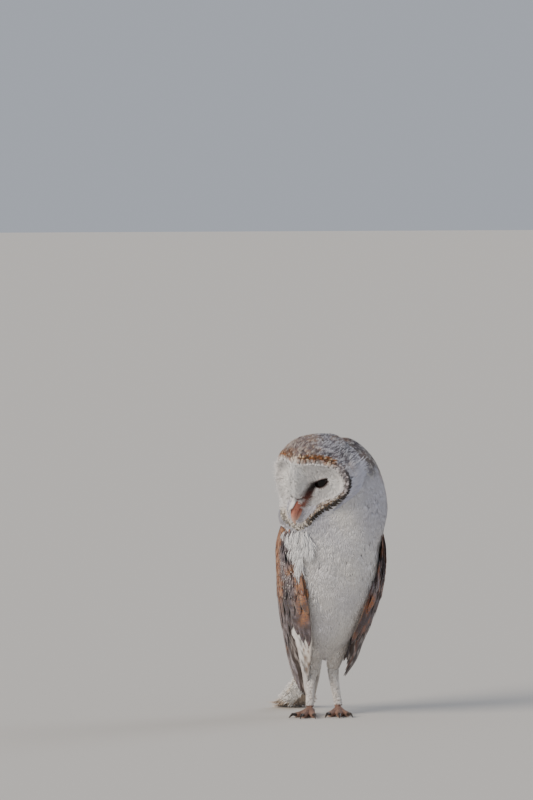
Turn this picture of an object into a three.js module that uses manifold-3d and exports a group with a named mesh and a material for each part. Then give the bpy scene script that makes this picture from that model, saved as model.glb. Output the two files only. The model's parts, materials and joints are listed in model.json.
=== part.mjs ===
// A barn owl standing upright on a flat floor, life size, with its head turned to its right.
// Millimetres, +Z up. The breast faces -Y, so the bird's left side is +X. The origin is the
// middle of the bird's footprint box, on the floor.
import * as THREE from "three";
import { mergeVertices } from "three/addons/utils/BufferGeometryUtils.js";
import Module from "manifold-3d";

const wasm = await Module();
wasm.setup();

// ---- Driving sizes ----------------------------------------------------------------------

const GAP = 0.35; // clear space kept between neighbouring nodes
const SLOPE_GAP = 0.75; // growth of a body that slopes, which leaves about GAP square to its faces
const MERGE = 0.02; // slivers smaller than this are merged after cutting
const SHIFT = new THREE.Vector3(-0.2, -27, 0); // from the body's own axis to the footprint's middle
const DEG = Math.PI / 180;

// Stations of the trunk, from the vent up to the base of the neck: centre and half sizes.
const TORSO_STATIONS = [
  { z: 77, x: -3, y: 19, halfWidth: 13, halfDepth: 15 },
  { z: 84, x: -3, y: 17, halfWidth: 24, halfDepth: 26 },
  { z: 98, x: -3, y: 13, halfWidth: 35, halfDepth: 37 },
  { z: 120, x: -2, y: 9, halfWidth: 44, halfDepth: 46 },
  { z: 146, x: -1, y: 5, halfWidth: 50, halfDepth: 51 },
  { z: 175, x: 0, y: 2, halfWidth: 53, halfDepth: 53 },
  { z: 203, x: 0, y: 1, halfWidth: 53, halfDepth: 52 },
  { z: 222, x: 1, y: 3, halfWidth: 50, halfDepth: 47 },
  { z: 233, x: 2, y: 5, halfWidth: 47, halfDepth: 42 },
];

// The neck and the thick cape of feathers behind the turned head.
const NECK_STATIONS = [
  { z: 226, x: 3, y: 6, halfWidth: 64, halfDepth: 51 },
  { z: 244, x: 3.5, y: 6, halfWidth: 64.5, halfDepth: 52 },
  { z: 262, x: 7.5, y: 7, halfWidth: 60, halfDepth: 49 },
  { z: 280, x: 10.5, y: 8, halfWidth: 53.5, halfDepth: 45 },
  { z: 296, x: 11.5, y: 9, halfWidth: 47, halfDepth: 40 },
  { z: 309, x: 11.5, y: 9, halfWidth: 40, halfDepth: 33 },
  { z: 318.5, x: 12, y: 9, halfWidth: 31, halfDepth: 26 },
  { z: 325.5, x: 12.5, y: 9, halfWidth: 22.5, halfDepth: 19 },
  { z: 330, x: 13, y: 9, halfWidth: 15, halfDepth: 13 },
  { z: 332.5, x: 13, y: 9, halfWidth: 7, halfDepth: 6 },
];

// The surface on which the folded wings lie, from the wing tips up to the shoulders.
const MANTLE_STATIONS = [
  { z: 22, x: -5, y: 44, halfWidth: 23, halfDepth: 20 },
  { z: 47, x: -4.5, y: 37, halfWidth: 30, halfDepth: 27 },
  { z: 66, x: -3.5, y: 28, halfWidth: 37.5, halfDepth: 35 },
  { z: 90, x: -3.5, y: 20, halfWidth: 43, halfDepth: 42.5 },
  { z: 114, x: -2.5, y: 13, halfWidth: 49.5, halfDepth: 48 },
  { z: 138, x: -1.5, y: 7, halfWidth: 53.8, halfDepth: 52 },
  { z: 172, x: 0, y: 2, halfWidth: 57.2, halfDepth: 55 },
  { z: 203, x: 0, y: 1, halfWidth: 59, halfDepth: 55 },
  { z: 232, x: 1, y: 4, halfWidth: 57.5, halfDepth: 51 },
];
const SECTION_POWER = 2.15; // 2 is an ellipse; a little more squares the trunk's sections

// Head: where its middle is, how far it is turned to the bird's right and bowed.
const HEAD_CENTRE = new THREE.Vector3(-21.4, -11.3, 290);
const HEAD_TURN = 53 * DEG;
const HEAD_BOW = 17 * DEG;
const HEAD_LEAN = 4.5 * DEG; // the left side of the face hangs a little lower
const DISC_MIDDLE_UP = -8; // height of the facial disc's middle above the head's middle
const RIDGE_FORWARD = 50; // reach of the ridge between the eyes
const BOWL_FORWARD = 12; // depth of the bowls beside it
const RIDGE_HALF = 17; // how quickly the ridge falls to the bowls
const BACK_FORWARD = -49; // the nape's furthest point
const BACK_UP = -2;
// The heart-shaped rim of the disc on the bird's left: angle up from level, radius, reach
// forward, the width of the ruff beyond it, and the largest radius of the head behind it.
const RIM = [
  { angle: -90, radius: 40, forward: 46, band: 8, skull: 40 },
  { angle: -75, radius: 36, forward: 42.5, band: 9, skull: 41 },
  { angle: -47, radius: 33.5, forward: 33, band: 11, skull: 46 },
  { angle: -20, radius: 37.5, forward: 22, band: 11, skull: 51 },
  { angle: -4, radius: 45, forward: 13, band: 8, skull: 53.5 },
  { angle: 9, radius: 49, forward: 9.5, band: 5, skull: 54.5 },
  { angle: 25, radius: 48.5, forward: 12, band: 4, skull: 53.5 },
  { angle: 42, radius: 46, forward: 19.5, band: 4, skull: 52 },
  { angle: 58, radius: 41.5, forward: 28, band: 4, skull: 50.5 },
  { angle: 75, radius: 36.5, forward: 33.5, band: 4, skull: 49 },
  { angle: 90, radius: 35, forward: 34.5, band: 4, skull: 48.5 },
];

const CROWN_FORWARD = 36; // where the ridge runs out at the forehead
const LIP = 2.2; // height of the raised edge of the disc

const EYE = { side: 18, up: -0.5, forward: 13, radius: 11, outward: 24 * DEG, upward: 7 * DEG };
// The lids leave an almond open, raised above and lowered below its middle line.
const LID = { thickness: 1.1, width: 20, above: 6.8, below: 8.6, depth: 22, tilt: 21 * DEG };

// Flight and cover feathers of a folded wing, in tiers from the shoulder down. Heights are of
// roots and tips at the front and the back of the tier; angles run round the body from the
// bird's side (0) towards its back (+90) and its breast (-90). A feather starts sunk under the
// mantle's surface by -start and its tip stands off by end.
const WING_TIERS = [
  {
    count: 9, width: 15.5, root: [213, 219], tip: [185, 184],
    from: [-13, 78], to: [-25, 78], start: 2.4, end: 7.6, rows: 2,
  },
  {
    count: 9, width: 15.5, root: [190, 194], tip: [158, 152],
    from: [-27, 79], to: [-41, 79], start: 2.4, end: 7.5, rows: 2,
  },
  {
    count: 9, width: 15.5, root: [164, 163], tip: [127, 118],
    from: [-41, 79], to: [-53, 77], start: 2.4, end: 7.4, rows: 2,
  },
  {
    count: 9, width: 15, root: [138, 134], tip: [82, 84],
    from: [-50, 77], to: [-56, 72], start: 2.4, end: 7.3, rows: 3,
  },
];
// The primaries come out from under the last tier. The longest are near the wing's front edge.
const PRIMARIES = {
  count: 8, width: 12.5, root: [121, 118],
  from: [-46, 60], to: [-42, 47], start: 2.2, end: 1.6, rows: 4,
};
// Heights of the primaries' tips, from the front edge to the back.
const PRIMARY_TIPS = { left: [64, 48, 46, 49, 54, 60, 66, 73], right: [58, 24, 24, 28, 36, 46, 57, 69] };
const WING_ARM = { top: 229, bottom: 112, thickness: 5, edge: 1.2, roundness: 0.35 };
// Front edge of a folded wing: angle round the body by height.
const WING_FRONT = [
  { z: 108, angle: -58 },
  { z: 140, angle: -53 },
  { z: 166, angle: -42 },
  { z: 188, angle: -32 },
  { z: 203, angle: -22 },
  { z: 229, angle: -14 },
];
const WING_BACK_ANGLE = 84;
// A wing feather's thickness, how much one edge stands up over its neighbour, and how its width
// grows from the root and narrows towards the tip.
const VANE = { thickness: 0.9, tilt: 0.13, root: 0.55, full: 0.15, narrows: 0.55, tip: 0.34 };

// Tail: a fan of feathers, swung a little to the bird's right, with its end bent along the
// floor. The outer feathers lie lower, further forward and curled up a little at their tips.
const TAIL = {
  count: 10,
  root: new THREE.Vector3(-4, 44, 100),
  bend: new THREE.Vector3(-12, 84, 9),
  end: new THREE.Vector3(-20, 114, 1.1),
  rootSpread: 6.5,
  endSpread: 21.5,
  endBack: 7,
  curl: 35,
  curlFrom: 0.55,
  width: 14,
  layer: 1.1,
  press: 2.3,
  thickness: 0.9,
};
// The fluffy coverts that carry the tail, and lie heaped over the right side of its fan.
const TAIL_COVERTS = [
  { at: new THREE.Vector3(-3, 22, 122), radius: 28, squash: 0.8 },
  { at: new THREE.Vector3(-4, 40, 98), radius: 20, squash: 0.62 },
  { at: new THREE.Vector3(-5, 55, 72), radius: 14.5, squash: 0.5 },
  { at: new THREE.Vector3(-9, 68, 47), radius: 13.5, squash: 0.42 },
  { at: new THREE.Vector3(-17, 83, 27), radius: 13, squash: 0.55 },
  { at: new THREE.Vector3(-27, 96, 13), radius: 12, squash: 0.68 },
];

// Legs: hip, hock and ankle of the bird's left leg; the right one mirrors it about LEG_MIDDLE.
const LEG_MIDDLE = -5;
const LEG = {
  hip: { out: 18, y: 8, z: 112, radius: 17 },
  knee: { out: 16.5, y: 13, z: 86, radius: 14 },
  hock: { out: 13.5, y: 24, z: 56, radius: 7.4 },
  shank: 6.6, // radius of the shank where it comes out of the thigh's feathers
  shin: { out: 15, y: 20, z: 36, radius: 6 },
  ankle: { out: 18, y: 14, z: 11, radius: 5 },
};
// Toes: direction on the floor from the middle toe (outwards positive), length and radius.
const TOES = [
  { name: "inner", angle: -26, length: 26, radius: 4.3 },
  { name: "middle", angle: 0, length: 29, radius: 4.3 },
  { name: "outer", angle: 25, length: 25, radius: 4.0 },
  { name: "hind", angle: 176, length: 17, radius: 4.0 },
];
const FOOT_TURN = { left: -14, right: 31 }; // how far each foot's middle toe points outwards
const CLAW = { length: 13, radius: 2.4, tip: 0.5, arch: 1.2, clear: 0.05 };
const SOLE_FLAT = 0.9; // how much of a toe's round underside is pressed flat on the floor
const CUFF = 2; // how far above the ankle the feathered shank gives way to the bare foot

// ---- Small helpers ----------------------------------------------------------------------

const colours = { white: 0xf2efe8, buff: 0xc98f4f, horn: 0xc78d78, dark: 0x15110f, toe: 0x8f7a66 };

function material(colour, roughness = 0.85) {
  return new THREE.MeshStandardMaterial({ color: colour, roughness, metalness: 0 });
}

// A closed geometry as a manifold solid.
function solidOf(geometry) {
  const flat = geometry.index ? geometry.toNonIndexed() : geometry;
  const bare = new THREE.BufferGeometry().setAttribute("position", flat.getAttribute("position"));
  const merged = mergeVertices(bare, 1e-4);
  const mesh = new wasm.Mesh({
    numProp: 3,
    vertProperties: merged.attributes.position.array,
    triVerts: new Uint32Array(merged.index.array),
  });
  const solid = new wasm.Manifold(mesh);
  if (solid.volume() > 0) return solid;
  const turned = mesh.triVerts.slice();
  for (let i = 0; i < turned.length; i += 3) [turned[i + 1], turned[i + 2]] = [turned[i + 2], turned[i + 1]];
  const flipped = new wasm.Mesh({ numProp: 3, vertProperties: mesh.vertProperties, triVerts: turned });
  return new wasm.Manifold(flipped);
}

// The largest closed surface of a solid, as a geometry.
function geometryOf(solid) {
  const largest = (body) => body.decompose().sort((a, b) => b.volume() - a.volume())[0];
  const mesh = largest(largest(solid).simplify(MERGE)).getMesh();
  const positions = new Float32Array(mesh.numVert * 3);
  for (let i = 0; i < mesh.numVert; i++)
    positions.set(mesh.vertProperties.subarray(i * mesh.numProp, i * mesh.numProp + 3), i * 3);
  return new THREE.BufferGeometry()
    .setAttribute("position", new THREE.BufferAttribute(positions, 3))
    .setIndex(new THREE.BufferAttribute(mesh.triVerts, 1));
}

const FLOOR = solidOf(new THREE.BoxGeometry(400, 400, 20).translate(0, 0, -10));

function joined(solids) {
  return wasm.Manifold.union(solids);
}

function geometryFrom(points, triangles) {
  const positions = new Float32Array(triangles.length * 9);
  triangles.forEach((triangle, i) => triangle.forEach((k, j) => points[k].toArray(positions, i * 9 + j * 3)));
  return new THREE.BufferGeometry().setAttribute("position", new THREE.BufferAttribute(positions, 3));
}

// A solid through rings of equally many points, closed at both ends.
function ringSolid(rings) {
  const sides = rings[0].length;
  const points = rings.flat();
  const triangles = [];
  for (let i = 0; i + 1 < rings.length; i++)
    for (let j = 0; j < sides; j++) {
      const a = i * sides + j;
      const b = i * sides + ((j + 1) % sides);
      triangles.push([a, b, b + sides], [a, b + sides, a + sides]);
    }
  for (const [ring, turned] of [[0, true], [rings.length - 1, false]]) {
    const middle = rings[ring].reduce((sum, p) => sum.add(p), new THREE.Vector3()).divideScalar(sides);
    points.push(middle);
    for (let j = 0; j < sides; j++) {
      const a = ring * sides + j;
      const b = ring * sides + ((j + 1) % sides);
      triangles.push(turned ? [b, a, points.length - 1] : [a, b, points.length - 1]);
    }
  }
  return solidOf(geometryFrom(points, triangles));
}

// A closed plate between two sheets, both split into triangles alike.
function plateSolid(rows, columns, upper, lower) {
  const points = [];
  const index = (side, i, j) => side * (rows + 1) * (columns + 1) + i * (columns + 1) + j;
  for (const sheet of [upper, lower])
    for (let i = 0; i <= rows; i++)
      for (let j = 0; j <= columns; j++) points.push(sheet(i / rows, j / columns));
  const triangles = [];
  const quad = (a, b, c, d) => triangles.push([a, b, c], [a, c, d]);
  for (let i = 0; i < rows; i++)
    for (let j = 0; j < columns; j++)
      for (const side of [0, 1]) {
        const [a, b] = [index(side, i, j), index(side, i + 1, j)];
        const [c, d] = [index(side, i + 1, j + 1), index(side, i, j + 1)];
        triangles.push(...(side ? [[a, c, b], [a, d, c]] : [[a, b, c], [a, c, d]]));
      }
  for (let i = 0; i < rows; i++) {
    quad(index(0, i, 0), index(1, i, 0), index(1, i + 1, 0), index(0, i + 1, 0));
    quad(index(0, i + 1, columns), index(1, i + 1, columns), index(1, i, columns), index(0, i, columns));
  }
  for (let j = 0; j < columns; j++) {
    quad(index(0, 0, j + 1), index(1, 0, j + 1), index(1, 0, j), index(0, 0, j));
    quad(index(0, rows, j), index(1, rows, j), index(1, rows, j + 1), index(0, rows, j + 1));
  }
  return solidOf(geometryFrom(points, triangles));
}

// Smooth values between named stations: keys[0] is the station's place, the rest its values.
function smoothTable(stations, keys) {
  const [place, ...values] = keys;
  const samples = stations.flatMap((s) => values.map((k) => s[k]));
  const table = new THREE.CubicInterpolant(stations.map((s) => s[place]), samples, values.length);
  const [low, high] = [stations[0][place], stations[stations.length - 1][place]];
  return (at) => {
    const result = table.evaluate(Math.min(high, Math.max(low, at)));
    return Object.fromEntries(values.map((k, i) => [k, result[i]]));
  };
}

const STATION_KEYS = ["z", "x", "y", "halfWidth", "halfDepth"];
const torsoAt = smoothTable(TORSO_STATIONS, STATION_KEYS);
const neckAt = smoothTable(NECK_STATIONS, STATION_KEYS);
const mantleAt = smoothTable(MANTLE_STATIONS, STATION_KEYS);
const wingFrontAt = smoothTable(WING_FRONT, ["z", "angle"]);

const lerp = THREE.MathUtils.lerp;
const power = (x, p) => Math.sign(x) * Math.abs(x) ** p;

// A point on a rounded section, with angle 0 at the bird's left side and 90 at its back.
function sectionPoint(station, z, angle, grow = 0) {
  const [c, s] = [Math.cos(angle), Math.sin(angle)];
  return new THREE.Vector3(
    station.x + (station.halfWidth + grow) * power(c, 2 / SECTION_POWER),
    station.y + (station.halfDepth + grow) * power(s, 2 / SECTION_POWER),
    z,
  );
}

// Rings crowd towards the bottom with ease above 1 and towards the top with ease below 0.
function stationSolid(at, low, high, rings, sides, ease, grow = 0) {
  const list = [];
  for (let i = 0; i <= rings; i++) {
    const share = ease > 0 ? (i / rings) ** ease : 1 - (1 - i / rings) ** -ease;
    const z = lerp(low, high, share);
    const ring = [];
    for (let j = 0; j < sides; j++) {
      ring.push(sectionPoint(at(z), z, ((j + 0.5) / sides) * 2 * Math.PI, grow));
    }
    list.push(ring);
  }
  return ringSolid(list);
}

// A round limb through named joints, each with a centre and a radius.
function limbSolid(joints, sides, rings, grow = 0) {
  const path = new THREE.CatmullRomCurve3(joints.map((j) => j.at), false, "centripetal");
  const list = [];
  const steps = (joints.length - 1) * rings;
  for (let i = 0; i <= steps; i++) {
    const t = i / steps;
    const k = Math.min(joints.length - 2, Math.floor(t * (joints.length - 1)));
    const within = THREE.MathUtils.smoothstep(t * (joints.length - 1) - k, 0, 1);
    const radius = lerp(joints[k].radius, joints[k + 1].radius, within) + grow;
    const squash = lerp(joints[k].squash ?? 1, joints[k + 1].squash ?? 1, within);
    const along = path.getTangent(t);
    const across = new THREE.Vector3(1, 0, 0).addScaledVector(along, -along.x).normalize();
    const up = new THREE.Vector3().crossVectors(along, across);
    const centre = path.getPoint(t).addScaledVector(along, (i === 0 ? -grow : 0) + (i === steps ? grow : 0));
    const ring = [];
    for (let j = 0; j < sides; j++) {
      const angle = ((j + 0.5) / sides) * 2 * Math.PI;
      const point = centre.clone().addScaledVector(across, radius * Math.cos(angle));
      ring.push(point.addScaledVector(up, radius * squash * Math.sin(angle)));
    }
    list.push(ring);
  }
  return ringSolid(list);
}

const owl = new THREE.Group();
owl.name = "barn_owl";
owl.position.copy(SHIFT);

function addNode(name, solid, colour, roughness) {
  const mesh = new THREE.Mesh(geometryOf(solid), material(colour, roughness));
  mesh.name = name;
  owl.add(mesh);
}

// ---- Trunk ------------------------------------------------------------------------------

const TRUNK_SIDES = 28;

function makeTrunk(stations, at, rings, ease, grow) {
  const [low, high] = [stations[0].z - grow, stations[stations.length - 1].z + grow];
  return stationSolid(at, low, high, rings, TRUNK_SIDES, ease, grow);
}

const makeTorso = (grow) => makeTrunk(TORSO_STATIONS, torsoAt, 14, 1.3, grow);
const makeNeck = (grow) => makeTrunk(NECK_STATIONS, neckAt, 11, -1.6, grow);

// ---- Head -------------------------------------------------------------------------------

const facing = new THREE.Vector3(-Math.sin(HEAD_TURN), -Math.cos(HEAD_TURN), 0);
const upright = new THREE.Vector3(0, 0, 1);
const headForward = facing
  .clone()
  .multiplyScalar(Math.cos(HEAD_BOW))
  .addScaledVector(upright, -Math.sin(HEAD_BOW));
const headSide = new THREE.Vector3(-facing.y, facing.x, 0).applyAxisAngle(headForward, -HEAD_LEAN);
const headUp = new THREE.Vector3().crossVectors(headForward, headSide);

// A point given by how far it is to the head's left, forward and up from the head's middle.
function inHead(side, forward, up) {
  return HEAD_CENTRE.clone()
    .addScaledVector(headSide, side)
    .addScaledVector(headForward, forward)
    .addScaledVector(headUp, up);
}

const rimAt = smoothTable(RIM, ["angle", "radius", "forward", "band", "skull"]);

// The rim by angle, the same on both sides of the head.
function rimAround(angle) {
  const degrees = Math.asin(Math.sin(angle)) / DEG;
  return rimAt(degrees);
}

// Reach forward of the ridge between the eyes, by height above the disc's middle. It falls back
// to the forehead, and has a dip over the bill on its way down to the chin.
function ridgeForward(up) {
  const rim = rimAt(up > 0 ? 90 : -90);
  const share = Math.min(1, Math.abs(up) / rim.radius);
  if (up > 0) return lerp(RIDGE_FORWARD, CROWN_FORWARD, share ** 1.6);
  return RIDGE_FORWARD - 6.5 * Math.sin(Math.PI * share ** 1.2) - 3 * share;
}

// The dished face: share is 0 at the disc's middle and 1 on its rim.
function facePoint(share, angle, grow = 0) {
  const rim = rimAround(angle);
  const side = share * rim.radius * Math.cos(angle);
  const up = share * rim.radius * Math.sin(angle);
  const lip = LIP * THREE.MathUtils.smoothstep(share, 0.84, 1);
  const bowl = lerp(BOWL_FORWARD, rim.forward, share ** 2.4) + lip;
  const ridge = Math.exp(-((Math.abs(side) / RIDGE_HALF) ** 1.5));
  const forward = bowl + Math.max(0, ridgeForward(up) - bowl) * ridge + grow;
  return { side, forward, up: up + DISC_MIDDLE_UP };
}

// The outside of the head behind the rim: share is 0 on the rim and 1 at the nape.
function skullPoint(share, angle, grow = 0) {
  const rim = rimAround(angle);
  const edge = rim.forward + LIP;
  const profile = new THREE.SplineCurve([
    new THREE.Vector2(rim.radius, edge),
    new THREE.Vector2(rim.radius + 0.8 * rim.band, edge - 0.35 * rim.band),
    new THREE.Vector2(lerp(rim.radius + rim.band, rim.skull, 0.45), edge - 9 - 0.5 * rim.band),
    new THREE.Vector2(rim.skull, -8),
    new THREE.Vector2(rim.skull * 0.8, -32),
    new THREE.Vector2(rim.skull * 0.42, -45),
    new THREE.Vector2(0, BACK_FORWARD),
  ]);
  const at = profile.getPoint(share);
  const lift = lerp(DISC_MIDDLE_UP, BACK_UP, Math.min(1, share * 2));
  const radius = at.x + grow * Math.sin(Math.PI * share ** 0.5);
  const forward = at.y - grow * share;
  return { side: radius * Math.cos(angle), forward, up: lift + radius * Math.sin(angle) };
}

const FACE_SHARES = [0.03, 0.15, 0.29, 0.43, 0.57, 0.71, 0.84, 0.94, 1];
const SKULL_SHARES = [0.09, 0.18, 0.3, 0.43, 0.56, 0.69, 0.82, 0.94];
const HEAD_SIDES = 36;

function makeHead(grow) {
  const ring = (pointAt, share) =>
    Array.from({ length: HEAD_SIDES }, (_, j) => {
      const p = pointAt(share, ((j + 0.5) / HEAD_SIDES) * 2 * Math.PI, grow);
      return inHead(p.side, p.forward, p.up);
    });
  const face = FACE_SHARES.map((s) => ring(facePoint, s));
  return ringSolid(face.concat(SKULL_SHARES.map((s) => ring(skullPoint, s))));
}

// The ruff: stiff feathers lying outwards round the rim of the disc, shingled one on another.
// They start at a share of the way from the rim to the nape and reach a share further.
const RUFF = {
  count: 30, width: 12.5, start: 0.025, reach: 0.2,
  sink: 1.0, rise: 1.6, thickness: 1.0, tilt: 0.16, narrowing: 0.55,
};

function ruffVane(k, grow = 0) {
  const angle = ((k + 0.5) / RUFF.count) * 2 * Math.PI;
  const rim = rimAround(angle);
  const half = (RUFF.width / 2 + grow) / (rim.radius + 4);
  const sheet = (face) => (along, across) => {
    const turn = angle + (across * 2 - 1) * half * (1 - RUFF.narrowing * along ** 3);
    const share = RUFF.start + RUFF.reach * along * (1 + grow / RUFF.width);
    const p = skullPoint(share, turn);
    const q = skullPoint(share + 0.01, turn);
    const outward = new THREE.Vector3(Math.cos(turn), 0, Math.sin(turn));
    const run = new THREE.Vector3(q.side - p.side, q.forward - p.forward, q.up - p.up).normalize();
    const normal = outward.addScaledVector(run, -outward.dot(run)).normalize();
    const tilt = RUFF.tilt * (across - 0.5) * RUFF.width;
    const lift = lerp(-RUFF.sink, RUFF.rise, along) + tilt + face * (RUFF.thickness + 2 * grow) - grow;
    return inHead(p.side + normal.x * lift, p.forward + normal.y * lift, p.up + normal.z * lift);
  };
  return plateSolid(2, 1, sheet(1), sheet(0));
}

// One eye's own axes: its middle and the way it looks.
function eyeFrame(side) {
  const middle = inHead(side * EYE.side, EYE.forward, EYE.up);
  const look = headForward
    .clone()
    .multiplyScalar(Math.cos(EYE.outward))
    .addScaledVector(headSide, side * Math.sin(EYE.outward))
    .multiplyScalar(Math.cos(EYE.upward))
    .addScaledVector(headUp, Math.sin(EYE.upward));
  return { middle, look };
}

function ballSolid(centre, radius, wide = 16, high = 12) {
  return solidOf(new THREE.SphereGeometry(radius, wide, high).translate(centre.x, centre.y, centre.z));
}

// The almond opening between the lids, as a prism along the eye's look.
function lidOpening(side) {
  const { middle, look } = eyeFrame(side);
  const outline = new THREE.Shape();
  outline.moveTo(-LID.width / 2, 0);
  outline.quadraticCurveTo(0, LID.above, LID.width / 2, 0);
  outline.quadraticCurveTo(0, -LID.below, -LID.width / 2, 0);
  const settings = { depth: LID.depth, bevelEnabled: false, curveSegments: 6 };
  const prism = new THREE.ExtrudeGeometry(outline, settings);
  const across = new THREE.Vector3().crossVectors(headUp, look).normalize();
  const lift = new THREE.Vector3().crossVectors(look, across);
  prism.rotateZ(side * LID.tilt);
  prism.applyMatrix4(new THREE.Matrix4().makeBasis(across, lift, look).setPosition(middle));
  return solidOf(prism);
}

// Bill: half sizes along its curve, in the head's own frame.
const BILL_UPPER = [
  { forward: 39, up: -19, halfWidth: 4.8, halfDepth: 6.4 },
  { forward: 47.5, up: -22.5, halfWidth: 4.8, halfDepth: 5.6 },
  { forward: 52, up: -28.5, halfWidth: 4.0, halfDepth: 4.3 },
  { forward: 53.7, up: -35.5, halfWidth: 2.7, halfDepth: 2.8 },
  { forward: 52.1, up: -43, halfWidth: 0.9, halfDepth: 0.9 },
];
const BILL_SIDES = 12;
const NOSTRIL = { side: 4, forward: 51.7, up: -24.5, radius: 1.1 };
const BILL_LOWER = [
  { forward: 36, up: -29, halfWidth: 3.6, halfDepth: 3.0 },
  { forward: 43, up: -33, halfWidth: 3.4, halfDepth: 2.6 },
  { forward: 47, up: -36.5, halfWidth: 2.6, halfDepth: 1.8 },
  { forward: 48.9, up: -39.5, halfWidth: 1.1, halfDepth: 0.8 },
];

function billSolid(stations, grow = 0) {
  const curve = new THREE.CatmullRomCurve3(stations.map((s) => new THREE.Vector3(0, s.forward, s.up)));
  const rings = [];
  const steps = (stations.length - 1) * 2;
  for (let i = 0; i <= steps; i++) {
    const t = i / steps;
    const k = Math.min(stations.length - 2, Math.floor(t * (stations.length - 1)));
    const within = t * (stations.length - 1) - k;
    const halfWidth = lerp(stations[k].halfWidth, stations[k + 1].halfWidth, within) + grow;
    const halfDepth = lerp(stations[k].halfDepth, stations[k + 1].halfDepth, within) + grow;
    const along = curve.getTangent(t);
    const thick = new THREE.Vector3(0, -along.z, along.y);
    const centre = curve.getPoint(t).addScaledVector(along, (i === 0 ? -grow : 0) + (i === steps ? grow : 0));
    const ring = [];
    for (let j = 0; j < BILL_SIDES; j++) {
      const angle = ((j + 0.5) / BILL_SIDES) * 2 * Math.PI;
      const p = centre.clone().addScaledVector(thick, halfDepth * Math.sin(angle));
      ring.push(inHead(p.x + halfWidth * Math.cos(angle), p.y, p.z));
    }
    rings.push(ring);
  }
  return ringSolid(rings);
}

const makeRuff = (grow) => Array.from({ length: RUFF.count }, (_, k) => ruffVane(k, grow));

function addHead() {
  const lids = [-1, 1].map((side) => ballSolid(eyeFrame(side).middle, EYE.radius + GAP + LID.thickness));
  let head = joined([makeHead(0), ...makeRuff(0), ...lids]);
  for (const side of [-1, 1]) {
    head = head.subtract(ballSolid(eyeFrame(side).middle, EYE.radius + GAP)).subtract(lidOpening(side));
    const ball = ballSolid(eyeFrame(side).middle, EYE.radius, 16, 11);
    addNode(side > 0 ? "eye_left" : "eye_right", ball, colours.dark, 0.1);
  }
  head = head.subtract(billSolid(BILL_UPPER, GAP)).subtract(billSolid(BILL_LOWER, GAP));
  addNode("head", head, colours.white);
  const nostrils = [-1, 1].map((side) =>
    ballSolid(inHead(side * NOSTRIL.side, NOSTRIL.forward, NOSTRIL.up), NOSTRIL.radius, 8, 6),
  );
  const upper = nostrils.reduce((solid, hole) => solid.subtract(hole), billSolid(BILL_UPPER));
  addNode("bill_upper", upper, colours.horn, 0.5);
  addNode("bill_lower", billSolid(BILL_LOWER).subtract(billSolid(BILL_UPPER, GAP)), colours.horn, 0.5);
}

// ---- Wings ------------------------------------------------------------------------------

// A point over the mantle on one side of the bird, raised by lift.
function mantlePoint(side, z, angle, lift) {
  const at = (height, turn) => {
    const station = mantleAt(height);
    const p = sectionPoint(station, height, turn);
    p.x = station.x + side * (p.x - station.x);
    return p;
  };
  const p = at(z, angle);
  const round = at(z, angle + 0.02).sub(at(z, angle - 0.02));
  const rise = at(z + 1, angle).sub(at(z - 1, angle));
  const normal = round.cross(rise).multiplyScalar(side).normalize();
  return { point: p.addScaledVector(normal, lift), normal };
}

// One vane lying over the mantle, from its root to its tip.
function wingVane(side, vane) {
  const at = (along) => {
    const z = lerp(vane.rootZ, vane.tipZ, along);
    const angle = lerp(vane.rootAngle, vane.tipAngle, along) * DEG;
    return mantlePoint(side, z, angle, lerp(vane.start, vane.end, Math.max(0, along) ** 0.8));
  };
  const taper = (along) => {
    if (along < VANE.full) return lerp(VANE.root, 1, along / VANE.full);
    const narrowed = Math.max(0, (along - VANE.narrows) / (1 - VANE.narrows));
    return lerp(1, VANE.tip, narrowed ** 2);
  };
  const sheet = (face) => (along, across) => {
    const here = at(along);
    const run = at(along + 0.02).point.sub(at(along - 0.02).point).normalize();
    const sideways = new THREE.Vector3().crossVectors(here.normal, run).normalize().multiplyScalar(side);
    const offset = (across - 0.5) * vane.width * taper(along);
    return here.point
      .addScaledVector(sideways, offset)
      .addScaledVector(here.normal, VANE.tilt * offset + (face - 0.5) * VANE.thickness);
  };
  return plateSolid(vane.rows, 1, sheet(1), sheet(0));
}

// The feathers of one tier; tips gives the height of each tip where they don't run evenly.
function tierVanes(side, tier, tips) {
  return Array.from({ length: tier.count }, (_, k) => {
    const t = k / (tier.count - 1);
    return wingVane(side, {
      rootZ: lerp(...tier.root, t),
      tipZ: tips ? tips[k] : lerp(...tier.tip, t),
      rootAngle: lerp(...tier.from, t),
      tipAngle: lerp(...tier.to, t),
      width: tier.width,
      start: tier.start,
      end: tier.end,
      rows: tier.rows,
    });
  });
}

function wingArm(side, grow = 0) {
  const sheet = (face) => (along, across) => {
    const z = lerp(WING_ARM.bottom - grow, WING_ARM.top + grow, along);
    const spread = grow * (across * 2 - 1);
    const angle = (lerp(wingFrontAt(z).angle + 2, WING_BACK_ANGLE, across) + spread) * DEG;
    const inside = Math.min(1, Math.max(0, along));
    const full = (Math.sin(Math.PI * inside) * Math.sin(Math.PI * across)) ** WING_ARM.roundness;
    const thickness = lerp(WING_ARM.edge, WING_ARM.thickness, full);
    return mantlePoint(side, z, angle, face ? thickness + grow : -grow).point;
  };
  return plateSolid(8, 7, sheet(1), sheet(0));
}

function addWing(side) {
  const suffix = side > 0 ? "left" : "right";
  const covers = WING_TIERS.flatMap((tier) => tierVanes(side, tier));
  const primaries = tierVanes(side, PRIMARIES, PRIMARY_TIPS[suffix]);
  addNode(`wing_${suffix}`, joined([wingArm(side), ...covers, ...primaries]), colours.buff);
}

// ---- Tail -------------------------------------------------------------------------------

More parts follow.
